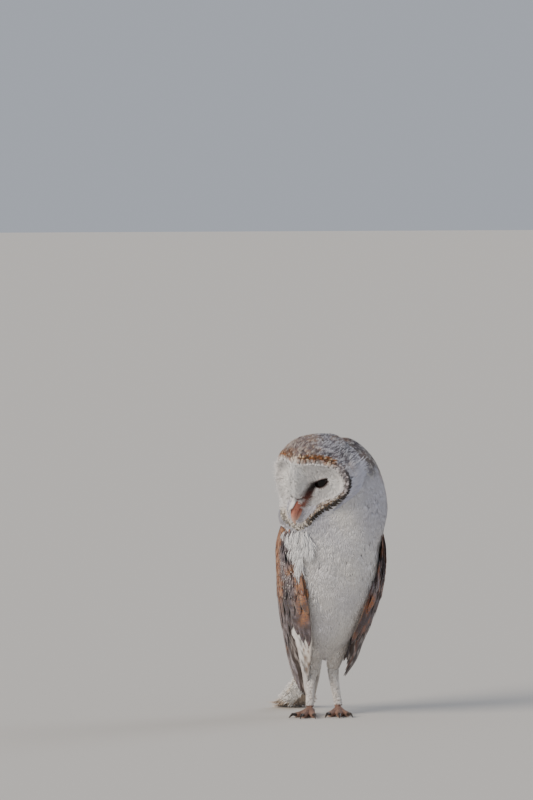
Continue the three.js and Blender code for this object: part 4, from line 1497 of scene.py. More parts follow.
@dataclass
class HeadCoat:
    """Disc, ruff, crown and nape."""

    head: HeadFrame
    markings: Markings
    finish: bpy.types.Material
    seed: int = 11
    disc_spacing: float = 0.98
    disc_length: float = 12.0
    crown_spacing: float = 2.4
    crown_length: float = 8.5
    bristle_count: int = 420
    ruff_rows: int = 8
    ruff_locks: int = 118

    def build(self) -> None:
        """Lays all feathers of the head."""
        rng = np.random.default_rng(self.seed)
        self.disc(rng)
        self.ruff(rng)
        self.crown(rng)

    def disc(self, rng: np.random.Generator) -> None:
        """Fine filaments that radiate from bill and eyes to the rim.

        Args:
            rng: Random draw.
        """
        face = Face(self.head)
        coat = Coat("coat_disc", self.finish, "plumage_face")
        u, v = face.scatter(face.u_range, face.v_range, self.disc_spacing, rng)
        share = self.head.share(u, v)
        root = face.at(u, v)
        open_eye = Eye(self.head, 1).opened(root, 0.35) | Eye(self.head, -1).opened(root, 0.35)
        on_bill = (np.abs(u) < 4.6 + 0.05 * v) & (v < np.where(u < 0, -15, -11)) & (v > -38)
        under_ruff = share > 1 + (self.band(np.arctan2(v, u))[0] + 2.5) / 40
        kept = (share < 1.0) & ~(open_eye & (np.abs(u) > 8)) & ~on_bill & ~(under_ruff & (u > 0))
        u, v, share = u[kept], v[kept], share[kept]
        side = np.where(u < 0, -1.0, 1.0)
        way, near_eye = self.filament_ways(np.abs(u), v)
        length = self.disc_length * (1 - 0.4 * near_eye) * rng.uniform(0.75, 1.15, len(u))
        length = length * (1 - 0.62 * smooth(-1, -11, v) * smooth(9, 4, np.abs(u)))
        tint = self.markings.disc(u, v)
        brown = smooth(0.75, 0.3, tint[:, 2])
        length = length * (1 - 0.5 * brown)
        turn = np.arctan2(way[:, 1], way[:, 0]) + rng.normal(size=len(u)) * 0.08
        slope = np.hypot(*[np.linalg.norm(x, axis=-1) for x in face.slopes(u, v)]) / math.sqrt(2)
        step = length / np.clip(slope, 1, 2.6)
        across, up = side * np.cos(turn), np.sin(turn)
        reach = self.head.share(u + across * step, v + up * step)
        step = step * np.clip((1.0 - share) / np.maximum(reach - share, 1e-3), 0.25, 1)
        far = (share > 0.8) & (u < 0) & (v > -10) & (v < 26)
        step = step + np.where(far, rng.uniform(0, 5.0, len(u)) * smooth(0.8, 0.95, share), 0)
        end = (u + across * step, v + up * step)
        strands = face.trace((u, v), end, 4)
        ridge = np.exp(-((u / 9) ** 2)) * smooth(-16, -2, v) * (1 - 0.6 * brown)
        rise = rng.uniform(0.4, 1.1, len(u)) + 0.5 * smooth(0.8, 1.0, share)
        rise = rise + (3.0 + 2.5 * smooth(2, 12, v)) * ridge
        rise = rise + np.where(far, rng.uniform(0, 2.5, len(u)) * smooth(0.8, 0.95, share), 0)
        heights = np.stack([rise * 0 - 1.0, rise * 0.5, rise, rise * 1.15], -1)
        tip = np.clip(self.markings.disc(*end) * rng.uniform(0.93, 1.04, (len(u), 1)), 0, 1)
        coat.add(strands.lifted(heights), rng.uniform(0.6, 0.85, len(u)), tint, tip, outline=Outline.BARB,
                 thickness=0.15, fade=3.0)
        self.bristles(coat, rng)
        coat.build()

    @staticmethod
    def filament_ways(u: np.ndarray, v: np.ndarray) -> tuple:
        """Directions away from bill and eyes, up along the ridge and down beside the bill.

        Args:
            u: Places out from the face's middle.
            v: Places up from it.

        Returns:
            Directions outwards and up, and how near each place is to the eye.
        """
        eye = np.stack([u - 20.5, v - 8], -1)
        from_bill = unit(np.stack([u + 1.5, v + 3], -1))
        from_eye = unit(eye * np.array([0.6, 1.0]) + 1e-6)
        low = smooth(-8, -20, v)[:, None]
        way = unit(mix(from_bill, from_eye, smooth(9, 20, u)) + low * np.array([0.25, -0.35]))
        near_eye = smooth(15, 9, np.hypot(eye[:, 0] * 0.7, eye[:, 1]))
        way = unit(mix(way, from_eye, near_eye))
        way = unit(mix(way, np.stack([-0.1 * u, u * 0 + 1], -1), smooth(12.5, 8, u) * smooth(-11, -3, v)))
        return unit(mix(way, np.array([0.3, -1.0]), smooth(10, 5, u) * smooth(-3, -11, v))), near_eye

    def bristles(self, coat: Coat, rng: np.random.Generator) -> None:
        """White bristles from the ridge that lie over the bill's base, further down on its right side.

        Args:
            coat: Where they are added.
            rng: Random draw.
        """
        count = self.bristle_count
        u0, v0 = rng.uniform(-5.2, 2.0, count), rng.uniform(-11, -1, count)
        u1 = u0 * rng.uniform(0.85, 1.0, count) - 0.2
        v1 = np.minimum(v0 - 3, (-15 + 1.5 * u1) * rng.uniform(0.8, 1.06, count))
        share = np.linspace(0, 1, 6)
        u, v = [a[:, None] + (b - a)[:, None] * share for a, b in ((u0, u1), (v0, v1))]
        horn = np.interp(v, (-34, -28, -22, -16, -13, -10, -7), (56, 58, 58.4, 57, 55, 51.5, 47.5))
        deep = np.maximum(self.head.bowl(u, v) + 0.6, horn - 2.6 * (u / 4.6) ** 2)
        deep = deep + 0.4 + rng.uniform(0, 0.9, (count, 1)) - 1.8 * (1 - share) ** 5
        points = self.head.place(u, deep, v + self.head.disc_up)
        place = Face(self.head).unwrapped(u0, v0)
        strands = Strands(points, np.broadcast_to(self.head.forward, points.shape), place)
        coat.add(strands, 0.85, linear("f4f1ee"), linear("e9e3df"), outline=Outline.BARB, thickness=0.15)

    def band(self, angle: np.ndarray) -> tuple:
        """Where the ruff starts and ends, in millimetres out from the rim."""
        return tuple(np.moveaxis(Table(RUFF_ROWS)(above_level(angle)), -1, 0))

    def over_rim(self, reach: np.ndarray, angle: np.ndarray) -> tuple:
        """Places at distances out from the rim, on the face where they are negative and else on the skull.

        Args:
            reach: Millimetres out from the rim.
            angle: Angle round the disc.

        Returns:
            Points and outward directions.
        """
        face, skull = Face(self.head), Skull(self.head)
        radius, _, band, _ = self.head.rim(angle)
        inner = radius + np.minimum(reach, 0)
        first = 0.873 * band
        u = np.clip(reach, 0, first) / first / 6 + np.maximum(0, reach - first) / 72
        side, up = inner * np.cos(angle), inner * np.sin(angle)
        points = np.where((reach > 0)[..., None], skull.at(u, angle), face.at(side, up))
        outside = skull.normal(np.maximum(u, 0.01), angle)
        return points, unit(mix(face.normal(side, up), outside, smooth(-4, 3, reach)))

    def ruff(self, rng: np.random.Generator) -> None:
        """Stiff short feathers in rows round the rim: cream, gold, then a dark-tipped outer row.

        Args:
            rng: Random draw.
        """
        coat = Coat("coat_ruff", self.finish, "plumage_face")
        for row in range(self.ruff_rows):
            locks = self.ruff_locks + rng.integers(-6, 7)
            lock = np.repeat(np.arange(locks), 3)
            middle = (np.arange(locks) + rng.uniform(-0.25, 0.25, locks)) / locks * 2 * math.pi - math.pi
            angle = middle[lock] + np.tile([-0.75, 0, 0.75], locks) / locks * 2
            inner, outer = self.band(middle)
            farther = smooth(-0.1, -0.35, np.cos(middle)) * (np.sin(middle) < 0)
            inner, outer = inner + (-1 - inner) * farther, outer + (9.5 - outer) * farther
            brow = smooth(98, 108, np.degrees(middle)) * smooth(142, 125, np.degrees(middle))
            outer = outer + 4 * brow
            low = np.minimum(inner, 0.5)
            length = rng.uniform(3.4, 5.0, locks)
            tip = low + (outer - low) * row / (self.ruff_rows - 1) + rng.normal(size=locks) * 0.35
            out = (tip - inner) / (outer - inner)
            tip = tip[lock] - 0.8 * np.abs(np.tile([-1, 0, 1], locks))
            share = np.linspace(0, 1, 5)
            reach = tip[:, None] - length[lock, None] * (1 - share)
            turned = angle[:, None] + (rng.normal(size=locks) * 0.03)[lock, None] * share
            points, normals = self.over_rim(reach, turned)
            place = Skull(self.head).unwrapped(np.full(len(angle), 0.02 + 0.03 * row), angle)
            near = 0.45 + 0.55 * smooth(-0.3, 0.3, np.cos(middle))
            chin = np.exp(-((np.degrees(middle) + 122) / 24) ** 2) * np.clip(out, 0, 1)
            rise = 0.5 + 0.9 * smooth(-0.3, 0.3, out) + 1.3 * np.clip(out, 0, 1)
            rise = rise * rng.uniform(0.85, 1.15, locks) * near + 7.5 * chin
            profile = np.array([-0.7, -0.1, 0.5, 0.95, 1.0])
            tint, tip_tint = self.ruff_colours(out, middle, row % 2 == 1, rng)
            strands = Strands(points, normals, place).lifted(rise[lock, None] * profile)
            coat.add(strands, 1.35, tint[lock], tip_tint[lock], outline=Outline.STIFF, thickness=0.15,
                     camber=0.05, fade=1.6)
        coat.build()

    @staticmethod
    def ruff_colours(out: np.ndarray, angle: np.ndarray, lined: bool, rng: np.random.Generator) -> tuple:
        """Colours of one row of the ruff.

        Args:
            out: How far across the ruff each tip lies; below 0 it still belongs to the white disc.
            angle: Angle round the disc; up is 90 degrees.
            lined: Whether most of the row's tips are dark.
            rng: Random draw.

        Returns:
            Colours of the feathers and of their tips.
        """
        count, height = len(angle), above_level(angle)
        top = smooth(30, 44, height)
        chin = np.maximum(smooth(-62, -76, height), smooth(-0.1, -0.35, np.cos(angle)) * (height < 0))
        cheek = smooth(-14, -2, height) * (1 - top)
        far = smooth(-0.1, -0.5, np.cos(angle)) * smooth(-50, -36, height) * smooth(45, 25, height)
        white = np.maximum(smooth(0.12, 0.02, out), far)
        tan = mix("e4d3ba", "a67f58", rng.uniform(0, 1, count) * (1 - 0.7 * chin))
        tan = mix(mix(tan, "f5f0e7", 0.65 * chin), "c9c4cf", 0.8 * cheek)
        gold = mix("ad6c31", "623a1d", rng.uniform(0, 1, count))
        gold = mix(gold, "dcbf98", (rng.uniform(size=count) < 0.16).astype(float))
        line = smooth(0.62, 0.8, out) * smooth(30, 10, height)
        parting = np.exp(-(((np.degrees(angle) - 92) / 7) ** 2))
        chance = ((0.8 if lined else 0.25) + 0.7 * line) * (1 - 0.4 * chin) * (1 - 0.8 * parting)
        dark = (rng.uniform(size=count) < chance).astype(float) * (1 - white)
        shown = mix(mix(tan, gold, 0.05 + 0.93 * top), "f0e6da", 0.85 * parting)
        brown = mix("5d3f29", Hue.SOOT.rgb, 0.25 + line + 0.5 * chin + 0.5 * cheek)
        tip = mix(mix(shown, "f4eee6", 0.35 * (1 - top) * (1 - dark)), brown, dark * (0.97 - 0.25 * top))
        tint = mix(mix(shown, brown, dark * top * 0.6), Hue.SOOT.rgb, dark * line * (1 - chin) * 0.98)
        pure = np.broadcast_to(linear("f5f3f2"), (count, 3))
        return mix(tint, pure, np.maximum(white, smooth(0.5, 0.2, out) * 0.9)), mix(tip, pure, white)

    def crown(self, rng: np.random.Generator) -> None:
        """Small spotted feathers of crown, cheeks and nape.

        Args:
            rng: Random draw.
        """
        skull = Skull(self.head)
        coat = Coat("coat_crown", self.finish, "plumage_grey")
        u, v = skull.scatter((0.19, 0.97), (-math.pi, math.pi), self.crown_spacing, rng)
        root = skull.at(u, v)
        tint = self.markings.crown(root) * (1 + rng.normal(size=(len(u), 1)) * 0.06)
        number, heading, share = fanned(len(u), 5, 0.34, rng)
        back = heading + (0.12 * mottle(root, 18, 51) + rng.normal(size=len(u)) * 0.08)[number]
        length = self.crown_length * (0.7 + 0.4 * smooth(0.15, 0.5, u))[number] * share
        strands = skull.walk(u[number], v[number], back, length, 3)
        aside, ahead, up = self.head.seen(root)
        bridge = 2.6 * np.exp(-(((aside - 10) / 11) ** 2) - ((ahead + 21) / 9) ** 2) * smooth(15, 30, up)
        raised = (0.8 + bridge + rng.uniform(-0.2, 0.45, len(u)))[number]
        raised = raised + rng.uniform(-0.15, 0.2, len(number))
        strands = self.straightened(strands, root[number])
        high = smooth(8, 24, up)
        rear = smooth(-12, 12, 0.8 * aside - 0.6 * ahead)
        score = 0.3 * mottle(root, 3, 52) + 0.45 * rng.normal(size=len(u))
        score = score[number] + 0.45 * rng.normal(size=len(number))
        frost = (score > 0.42 - 0.3 * rear[number]) & (high[number] > 0.2)
        pale = mix("f2e3d2", "f6f4f7", rear)[number]
        dim = 1 - ((0.5 + 0.1 * rear) * high * rng.uniform(0, 1.3, len(u)))[number]
        tip = np.where(frost[:, None], pale, tint[number] * dim[:, None])
        marks = np.stack([high * 0, high * 0, 0.35 * high], -1)
        coat.add(strands.lifted(lofted(raised, -0.8)), 1.35, np.clip(tint[number], 0, 1), np.clip(tip, 0, 1),
                 marks[number], fade=2.0)
        coat.build()

    def straightened(self, strands: Strands, root: np.ndarray) -> Strands:
        """Lets the long feathers behind the left cheek run straight on over the neck.

        Args:
            strands: Feathers along the skull.
            root: Their roots.

        Returns:
            The strands, straighter and longer there.
        """
        aside, ahead, _ = self.head.seen(root)
        behind = np.maximum(smooth(18, 34, aside) * smooth(22, 2, ahead), smooth(-4, -24, ahead))[:, None]
        first = unit(strands.points[:, 1] - strands.points[:, 0])
        length = np.linalg.norm(strands.points[:, -1] - strands.points[:, 0], axis=-1)[:, None] * 1.9
        for step, share in ((1, 0.5), (2, 1.0)):
            straight = strands.points[:, 0] + first * length * share
            strands.points[:, step] += (straight - strands.points[:, step]) * 0.75 * behind
        return strands


@dataclass
class Bill:
    """Salmon-coloured bill, paler at its tip."""

    frame: dict
    head: HeadFrame
    finish: bpy.types.Material
    voxel: float = 0.32

    def build(self) -> None:
        """Makes both halves of the bill."""
        for node in ("bill_upper", "bill_lower"):
            mesh = Rounded((node,), self.voxel, 5).mesh(f"{node}_horn", self.frame)
            _, _, up = self.head.seen(own_points(mesh))
            tint = mix("c9806a", "e0b9a4", smooth(-26, -41, up))
            paint_vertices(mesh, mix(tint, "a8614e", smooth(-24, -18, up) * 0.6))
            horn = placed(mesh, self.finish)
            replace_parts(horn, node)


# ---- Wings ----


@dataclass(frozen=True)
class Tier:
    """One row of wing feathers, from the wing's front edge to its back.

    Attributes:
        count: Number of feathers.
        width: Greatest width.
        root: Heights of the first and last root.
        tips: Heights of the tips, evenly spaced along the row.
        turn_root: Angles of the first and last root back of the bird's side, in degrees.
        turn_tip: The same for the tips, evenly spaced along the row.
        marks: Strength of spots, bars and grain.
        steps: Points along a feather.
    """

    count: int
    width: float
    root: tuple
    tips: tuple
    turn_root: tuple
    turn_tip: tuple
    marks: tuple
    steps: int


@dataclass(frozen=True)
class Patch:
    """An area of a wing: its middle and half size by height and by angle, and how grey it is."""

    height: float
    turn: float
    half_height: float
    half_turn: float
    grey: float = 0.0

    def share(self, z: np.ndarray, turn: np.ndarray) -> np.ndarray:
        """How far places are in the patch, from 0 to 1."""
        off = ((z - self.height) / self.half_height) ** 2 + ((turn - self.turn) / self.half_turn) ** 2
        return np.exp(-(off**2))


@dataclass
class Wing:
    """A folded wing: small coverts over tiers of larger ones, secondaries and long primaries."""

    side: int
    finish: bpy.types.Material
    seed: int = 21
    lowest_covert: float = 160.0
    covert_spacing: float = 3.7
    covert_rise: float = 6.9
    arm_span: tuple = (116.0, 226.0)
    arm_lift: float = 1.6
    arm_wall: float = 3.0
    primary_tips: dict = field(default_factory=lambda: {
        1: (64, 48, 46, 49, 54, 60, 66, 73), -1: (58, 24, 24, 28, 36, 46, 57, 69)})
    primary_turns: dict = field(default_factory=lambda: {
        1: (-58, 47), -1: (-50, -47, -44, -41, -37, -31, -24, -17, -9, -1, 8, 18, 28, 38, 47)})
    patches: tuple = (
        Patch(190, 4, 42, 12, 0.0),
        Patch(196, -19, 21, 12, 1.0),
        Patch(176, -38, 30, 8, 0.1),
        Patch(150, -3, 18, 10, 0.05),
        Patch(158, -21, 14, 9, 0.95),
        Patch(128, -23, 22, 16, 1.0),
        Patch(127, -47, 17, 6, 0.0),
        Patch(100, -35, 13, 22, 1.0),
        Patch(114, 8, 25, 17, 0.9),
    )

    def tiers(self) -> tuple:
        """The rows of this wing.

        Returns:
            The rows, from the primaries out to the cover feathers.
        """
        return (
            Tier(15, 15.0, (150, 147), self.primary_tips[self.side], (-46, 60), self.primary_turns[self.side],
                 (0, 0.25, 0.8), 24),
            Tier(14, 12.0, (150, 146), (90, 95, 102, 110, 92, 74, 64, 62, 64, 66, 68, 69, 68),
                 (-46 - 2 * (self.side + 1), 77), (-53 - 5 * (self.side + 1), 72), (0, 0.2, 0.85), 18),
            Tier(13, 11.0, (160, 162), (128, 127, 118, 104, 100, 106, 112, 114), (-40, 79), (-51, 77),
                 (0, 0.25, 0.9), 14),
            Tier(15, 10.0, (178, 180), (150, 149, 146, 142), (-33, 79), (-45, 78), (0.2, 0.1, 0.85), 12),
        )

    def build(self) -> None:
        """Makes the wing."""
        rng = np.random.default_rng(self.seed + self.side)
        word = side_word(self.side)
        mantle = Trunk(MANTLE_ROWS, self.side)
        coat = Coat(f"coat_wing_{word}", self.finish, "plumage_buff")
        for row, tier in enumerate(self.tiers()):
            self.tier(coat, mantle, tier, row, rng)
        self.coverts(coat, mantle, rng)
        first, *_ = coat.build()
        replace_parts(first, f"wing_{word}")
        self.arm(mantle, word)

    def ground(self, points: np.ndarray) -> np.ndarray:
        """Gold ground under an ash-grey veil in panels; the left wing's front is dark brown with rust, partly
        its own colour and partly painted shade.

        Args:
            points: Places on the wing.

        Returns:
            Linear RGB for each place.
        """
        x, y, z = np.moveaxis(points, -1, 0)
        centre = Table(MANTLE_ROWS)(z)
        turn = np.degrees(np.arctan2(y - centre[..., 1], self.side * (x - centre[..., 0])))
        veil = smooth(-0.3, 0.3, mottle(points, 13, 61) + 0.1)
        if self.side > 0:
            streaked = mottle(points * np.array([1, 1, 0.2]), 4.5, 65)
            # Partly painted shade: the left wing, away from the light, is laid over with dark brown at its
            # front.
            dark = mix("42302a", "935c37", smooth(-0.1, 0.8, streaked + 0.5 * smooth(160, 205, z)))
            dark = mix(dark, "b0672f", Patch(137, -50, 13, 9).share(z, turn) * smooth(-0.3, 0.3, streaked))
            dark = mix(dark, "a39da2", Patch(161, -46, 14, 9).share(z, turn) * smooth(0, 0.4, streaked))
            return mix(dappled(points, veil), dark, 0.95 * smooth(-4, -22, turn) * smooth(222, 196, z))
        for patch in self.patches:
            share = patch.share(z, turn)
            veil = veil * (1 - share) + patch.grey * share
        # A dark band along the primaries' front edge: partly their own dark-brown edge, partly painted shade
        # of the gap there.
        stripe = np.interp(z, (44, 72, 104, 142, 165), (-38, -29, -22, -19, -18))
        stripe = smooth(6.5, 3.5, np.abs(turn - stripe + 1.5 * mottle(points, 8, 66))) * smooth(168, 146, z)
        streaks = smooth(0.0, 0.8, mottle(points * np.array([1, 1, 0.22]), 3.6, 68)) * smooth(175, 150, z)
        tips = np.maximum(Patch(97, -40, 16, 22).share(z, turn), Patch(114, -30, 16, 9).share(z, turn))
        speckled = mix("402f28", "9a8d90", smooth(-0.1, 0.9, mottle(points, 1.7, 70)))
        tint = mix(dappled(points, veil), speckled, 0.9 * tips)
        return mix(tint, "34261f", np.maximum(0.92 * stripe, 0.65 * streaks))

    def tier(self, coat: Coat, mantle: Trunk, tier: Tier, row: int, rng: np.random.Generator) -> None:
        """Lays one row.

        Args:
            coat: Where its feathers are added.
            mantle: The surface under the wing.
            tier: The row's sizes.
            row: Its number, 0 for the primaries.
            rng: Random draw.
        """
        share = np.linspace(0, 1, tier.count)
        shake = rng.normal(size=(4, tier.count))
        root = np.interp(share, (0, 1), tier.root) + shake[0] * 0.8
        tip = np.interp(share, np.linspace(0, 1, len(tier.tips)), tier.tips) + shake[1] * (1.3 if row else 0)
        start = np.interp(share, (0, 1), tier.turn_root) + shake[2] * 0.5
        end = np.interp(share, np.linspace(0, 1, len(tier.turn_tip)), tier.turn_tip) + shake[3] * 0.6
        strands = mantle.trace((root, np.radians(start)), (tip, np.radians(end)), tier.steps)
        above = self.tiers()[row + 1 :]
        over = above[0].tips if above else (self.lowest_covert,) * 2
        cover = np.interp(share, np.linspace(0, 1, len(over)), over)[:, None]
        z = root[:, None] + (tip - root)[:, None] * np.linspace(0, 1, tier.steps)
        deep = np.clip((z - cover) / (root[:, None] - cover), 0, 1)
        heights = (self.stack(z) - 0.8 * smooth(-8, 3, z - cover)) * (1 - deep) + 1.8 * deep
        heights = heights + 0.12 * np.arange(tier.count)[:, None] / tier.count
        tint, marks = (self.ground, tier.marks) if row else (self.quills, self.quill_marks(tier))
        outline = Outline.QUILL if above else Outline.VANE
        coat.add(strands.lifted(heights), tier.width, tint, None, marks, outline, 6, 0.25, 0.05)

    @staticmethod
    def stack(z: np.ndarray) -> np.ndarray:
        """How far the folded wing's outer face stands off the mantle at a height."""
        return np.interp(z, (24, 64, 104, 142, 180), (1.7, 3.2, 4.8, 6.6, 7.3))

    def quill_colours(self) -> np.ndarray:
        """Colours of the primaries: pale inner webs, dark ones, then lilac-grey and brown.

        Returns:
            Linear RGB for each feather, from the wing's front.
        """
        # The left wing's near-black front primaries are partly their own dark brown and partly painted shade
        # of that side.
        front = {1: "3a2b24 6b4024 2e221d 55402f 2e221d 6b5140 3d2c24",
                 -1: "e9e0d6 efe9e2 f4f1ed f2eeea 2c1e18 35251e a89fa4"}[self.side]
        rear = "a0979b 6b5544 9a9196 8a6d52 968b92 80664e 968b92 8a6d52"
        return np.array([linear(hue) for hue in f"{front} {rear}".split()])

    def quill_marks(self, tier: Tier) -> np.ndarray:
        """Marks of the primaries: neither the darkest nor the palest have grain."""
        tone = self.quill_colours().mean(-1)
        return np.array(tier.marks) * (smooth(0.03, 0.1, tone) * smooth(0.75, 0.5, tone))[:, None]

    def quills(self, points: np.ndarray) -> np.ndarray:
        """Colour over the primaries, with brown blots on the front ones of the right wing.

        Args:
            points: Places on them, feather by feather.

        Returns:
            Linear RGB for each place.
        """
        tint = self.quill_colours()[:, None, None]
        low = points[..., 2]
        blot = smooth(-0.1, 0.3, mottle(points, 5, 67) + (76 - low) / 60) * smooth(96, 84, low) * 0.85
        front = (np.arange(len(tint)) < 2)[:, None, None] * (self.side < 0)
        streaked = mottle(points * np.array([1, 1, 0.12]), 2.4, 69)
        tint = mix(tint, "7d6350", blot * front)
        tint = mix(tint, "c4b9b4", smooth(-0.2, -0.8, streaked) * (1 - front) * 0.6)
        tint = mix(tint, "382a23", smooth(0.0, 0.6, streaked) * (1 - front) * 0.75)
        return mix(tint, "4a3a34", 0.25 * smooth(60, 25, low))

    def coverts(self, coat: Coat, mantle: Trunk, rng: np.random.Generator) -> None:
        """Small scale-like coverts over the arm.

        Args:
            coat: Where they are added.
            mantle: The surface under the wing.
            rng: Random draw.
        """
        angles = (math.radians(-50), math.radians(84))
        u, v = mantle.scatter((156, 231), angles, self.covert_spacing, rng)
        kept = (np.degrees(v) > wing_front(u) - 2) & (np.degrees(v) < 83)
        u, v = u[kept], v[kept]
        length = rng.uniform(10, 13, len(u)) + 3 * smooth(190, 165, u)
        strands = mantle.walk(u, v, math.pi + 0.25 + rng.normal(size=len(u)) * 0.12, length, 6)
        rise = self.covert_rise + rng.uniform(-0.15, 0.25, len(u)) + 0.6 * smooth(222, 180, u)
        rise = rise * (0.35 + 0.65 * smooth(0, 16, np.degrees(v) - wing_front(u)))
        rise = rise * (0.5 + 0.5 * smooth(233, 210, u))
        heights = rise[:, None] + np.array([-1.6, -0.7, -0.25, 0, 0.15, 0.2])
        panel = Patch(190, -19, 30, 14).share(u, np.degrees(v))
        spots = rng.uniform(0.0, 0.8, len(u)) * (0.4 + 0.6 * panel) + 0.3 * panel
        marks = np.stack([spots, u * 0, rng.uniform(0.5, 0.9, len(u))], -1)
        width = rng.uniform(4.8, 6.0, len(u))
        coat.add(strands.lifted(heights), width, self.ground, None, marks, Outline.VANE, 4, 0.15, 0.04)

    def arm(self, mantle: Trunk, word: str) -> None:
        """The flesh of the arm under the coverts, in the wing's colours darkened to 0.6 as painted shade.

        Args:
            mantle: The surface under the wing.
            word: The side as a word.
        """
        bm = bmesh.new()
        bmesh.ops.create_grid(bm, x_segments=24, y_segments=24, size=0.5)
        share = np.array([vert.co for vert in bm.verts]) + 0.5
        low, high = self.arm_span
        height = low + (high - low) * share[:, 0]
        front = wing_front(height) + 7
        turn = np.radians(front + (82 - front) * share[:, 1])
        points = mantle.at(height, turn) + mantle.normal(height, turn) * self.arm_lift
        moved(bm, points)
        if self.side > 0:
            bmesh.ops.reverse_faces(bm, faces=bm.faces)
        # Painted shade: under the coverts the arm takes the wing's colours at 0.6.
        mesh = shaped(bm, f"wing_arm_{word}", self.ground(points) * 0.6, False)
        walled(placed(mesh, self.finish), self.arm_wall, 0.0)


# ---- Tail ----


@dataclass
class Tail:
    """Ten pale feathers pressed along the floor, frayed at their tips, under a heap of soft coverts."""

    finish: bpy.types.Material
    count: int = 10
    barbs_each: int = 90
    wisp_count: int = 950
    root: tuple = (-4.0, 44.0, 100.0)
    bend: tuple = (-12.0, 84.0, 9.0)
    end: tuple = (-20.0, 114.0, 1.1)
    root_spread: float = 6.5
    end_spread: float = 21.5
    width: float = 14.0
    layer: float = 1.1
    sunk: float = 2.3
    back: float = 7.0
    curl: float = 35.0
    curl_from: float = 0.55
    lowest: float = 0.6
    seed: int = 31
    core: tuple = ((-3, 22, 122, 25, 0.8), (-4, 40, 98, 17, 0.6), (-5, 55, 72, 12, 0.46),
                   (-9, 68, 47, 11, 0.4), (-17, 83, 27, 10.5, 0.5), (-27, 96, 13, 9, 0.62))

    def curve(self, t: np.ndarray, steps: int) -> np.ndarray:
        """Centre lines of tail feathers.

        Args:
            t: Place in the fan, -1 at the bird's right and 1 at its left.
            steps: Points on each line.

        Returns:
            Points, feathers by steps by three.
        """
        low = -np.abs(t) * self.layer * (self.count / 2 - 0.5)
        level = self.layer * (self.count / 2 - 0.5) + 0.45 - self.sunk
        curled = self.curl * np.maximum(0, np.abs(t) - self.curl_from) ** 2
        zero = t * 0
        ends = (
            np.stack([t * self.root_spread, 0.45 * low, 0.3 * low], -1) + np.array(self.root),
            np.stack([t * self.root_spread, zero, low + level], -1) + np.array(self.bend),
            np.stack([t * self.end_spread, -self.back * t**2, low + level - self.end[2] + curled], -1)
            + np.array(self.end),
        )
        s = np.linspace(0, 1, steps)[None, :, None]
        line = ends[0][:, None] * (1 - s) ** 2 + ends[1][:, None] * 2 * s * (1 - s) + ends[2][:, None] * s**2
        line[..., 2] = np.maximum(line[..., 2], self.lowest)
        return line

    def build(self) -> None:
        """Makes the tail."""
        rng = np.random.default_rng(self.seed)
        coat = Coat("coat_tail", self.finish, "plumage_white")
        t = np.linspace(-1, 1, self.count)
        points = self.curve(t, 24)
        along = unit(np.gradient(points, axis=1))
        sideways = unit(np.array([1.0, 0, 0]) - along * along[..., :1])
        normals = np.cross(sideways, along)
        place = np.stack([(t + 1) / 2 * 0.96 + 0.02, t * 0 + 0.1], -1)
        tint = mix("f1ede6", Hue.CREAM.rgb, rng.uniform(0, 0.4, self.count))
        coat.add(Strands(points, normals, place), self.width, tint, linear("d8c0a6"), (0, 0.3, 0.15),
                 Outline.QUILL, 6, 0.4, 0.04)
        self.fray(coat, points, normals, rng)
        self.coverts(coat, rng)
        self.wisps(coat, rng)
        first, *_ = coat.build()
        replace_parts(first, "tail")
        self.rump()

    def fray(self, coat: Coat, points: np.ndarray, normals: np.ndarray, rng: np.random.Generator) -> None:
        """Loose barbs along the ends of the tail feathers.

        Args:
            coat: Where they are added.
            points: The feathers' centre lines.
            normals: Their upward directions.
            rng: Random draw.
        """
        number = np.repeat(np.arange(len(points)), self.barbs_each)
        count = len(number)
        at = rng.integers(15, 23, count)
        root, normal = points[number, at], normals[number, at]
        along = unit(points[number, at] - points[number, at - 1])
        sideways = np.cross(normal, along)
        off = rng.uniform(-1, 1, count)[:, None]
        way = unit(along + sideways * off * 0.7 + normal * rng.uniform(-0.02, 0.35, count)[:, None])
        start = root + sideways * off * self.width * 0.42
        length = rng.uniform(5, 10, count)[:, None, None]
        line = start[:, None] + way[:, None] * np.array([0, 0.5, 1.0])[None, :, None] * length
        line[..., 2] = np.maximum(line[..., 2], 0.5)
        line[..., 1] = np.minimum(line[..., 1], 119)
        place = np.stack([rng.uniform(0.02, 0.98, count), at / 24 * 0.6 + 0.3], -1)
        tint = mix("f3ece2", "d9b9a0", rng.uniform(0, 0.8, count))
        coat.add(Strands(line, np.repeat(normal[:, None], 3, 1), place), 1.1, tint, thickness=0.25)

    def coverts(self, coat: Coat, rng: np.random.Generator) -> None:
        """Soft white feathers over the tail's base and over the right side of the fan.

        Args:
            coat: Where they are added.
            rng: Random draw.
        """
        base = Limb(self.core)
        u, v = base.scatter((0.2, 4.95), (-math.pi, math.pi), 3.4, rng)
        number, heading, share = fanned(len(u), 6, 0.34, rng)
        length = np.maximum(8.0, 14 - 1.6 * u)[number] * share
        strands = base.walk(u[number], v[number], heading, length, 3)
        strands = strands.lifted(lofted(rng.uniform(0.4, 1.4, len(u))[number], -1.0))
        tint = mix("fdfcfa", "f1ece5", rng.uniform(0, 1, len(u)))
        strands.points[..., 2] = np.maximum(strands.points[..., 2], self.lowest)
        coat.add(strands, 1.4, tint[number])

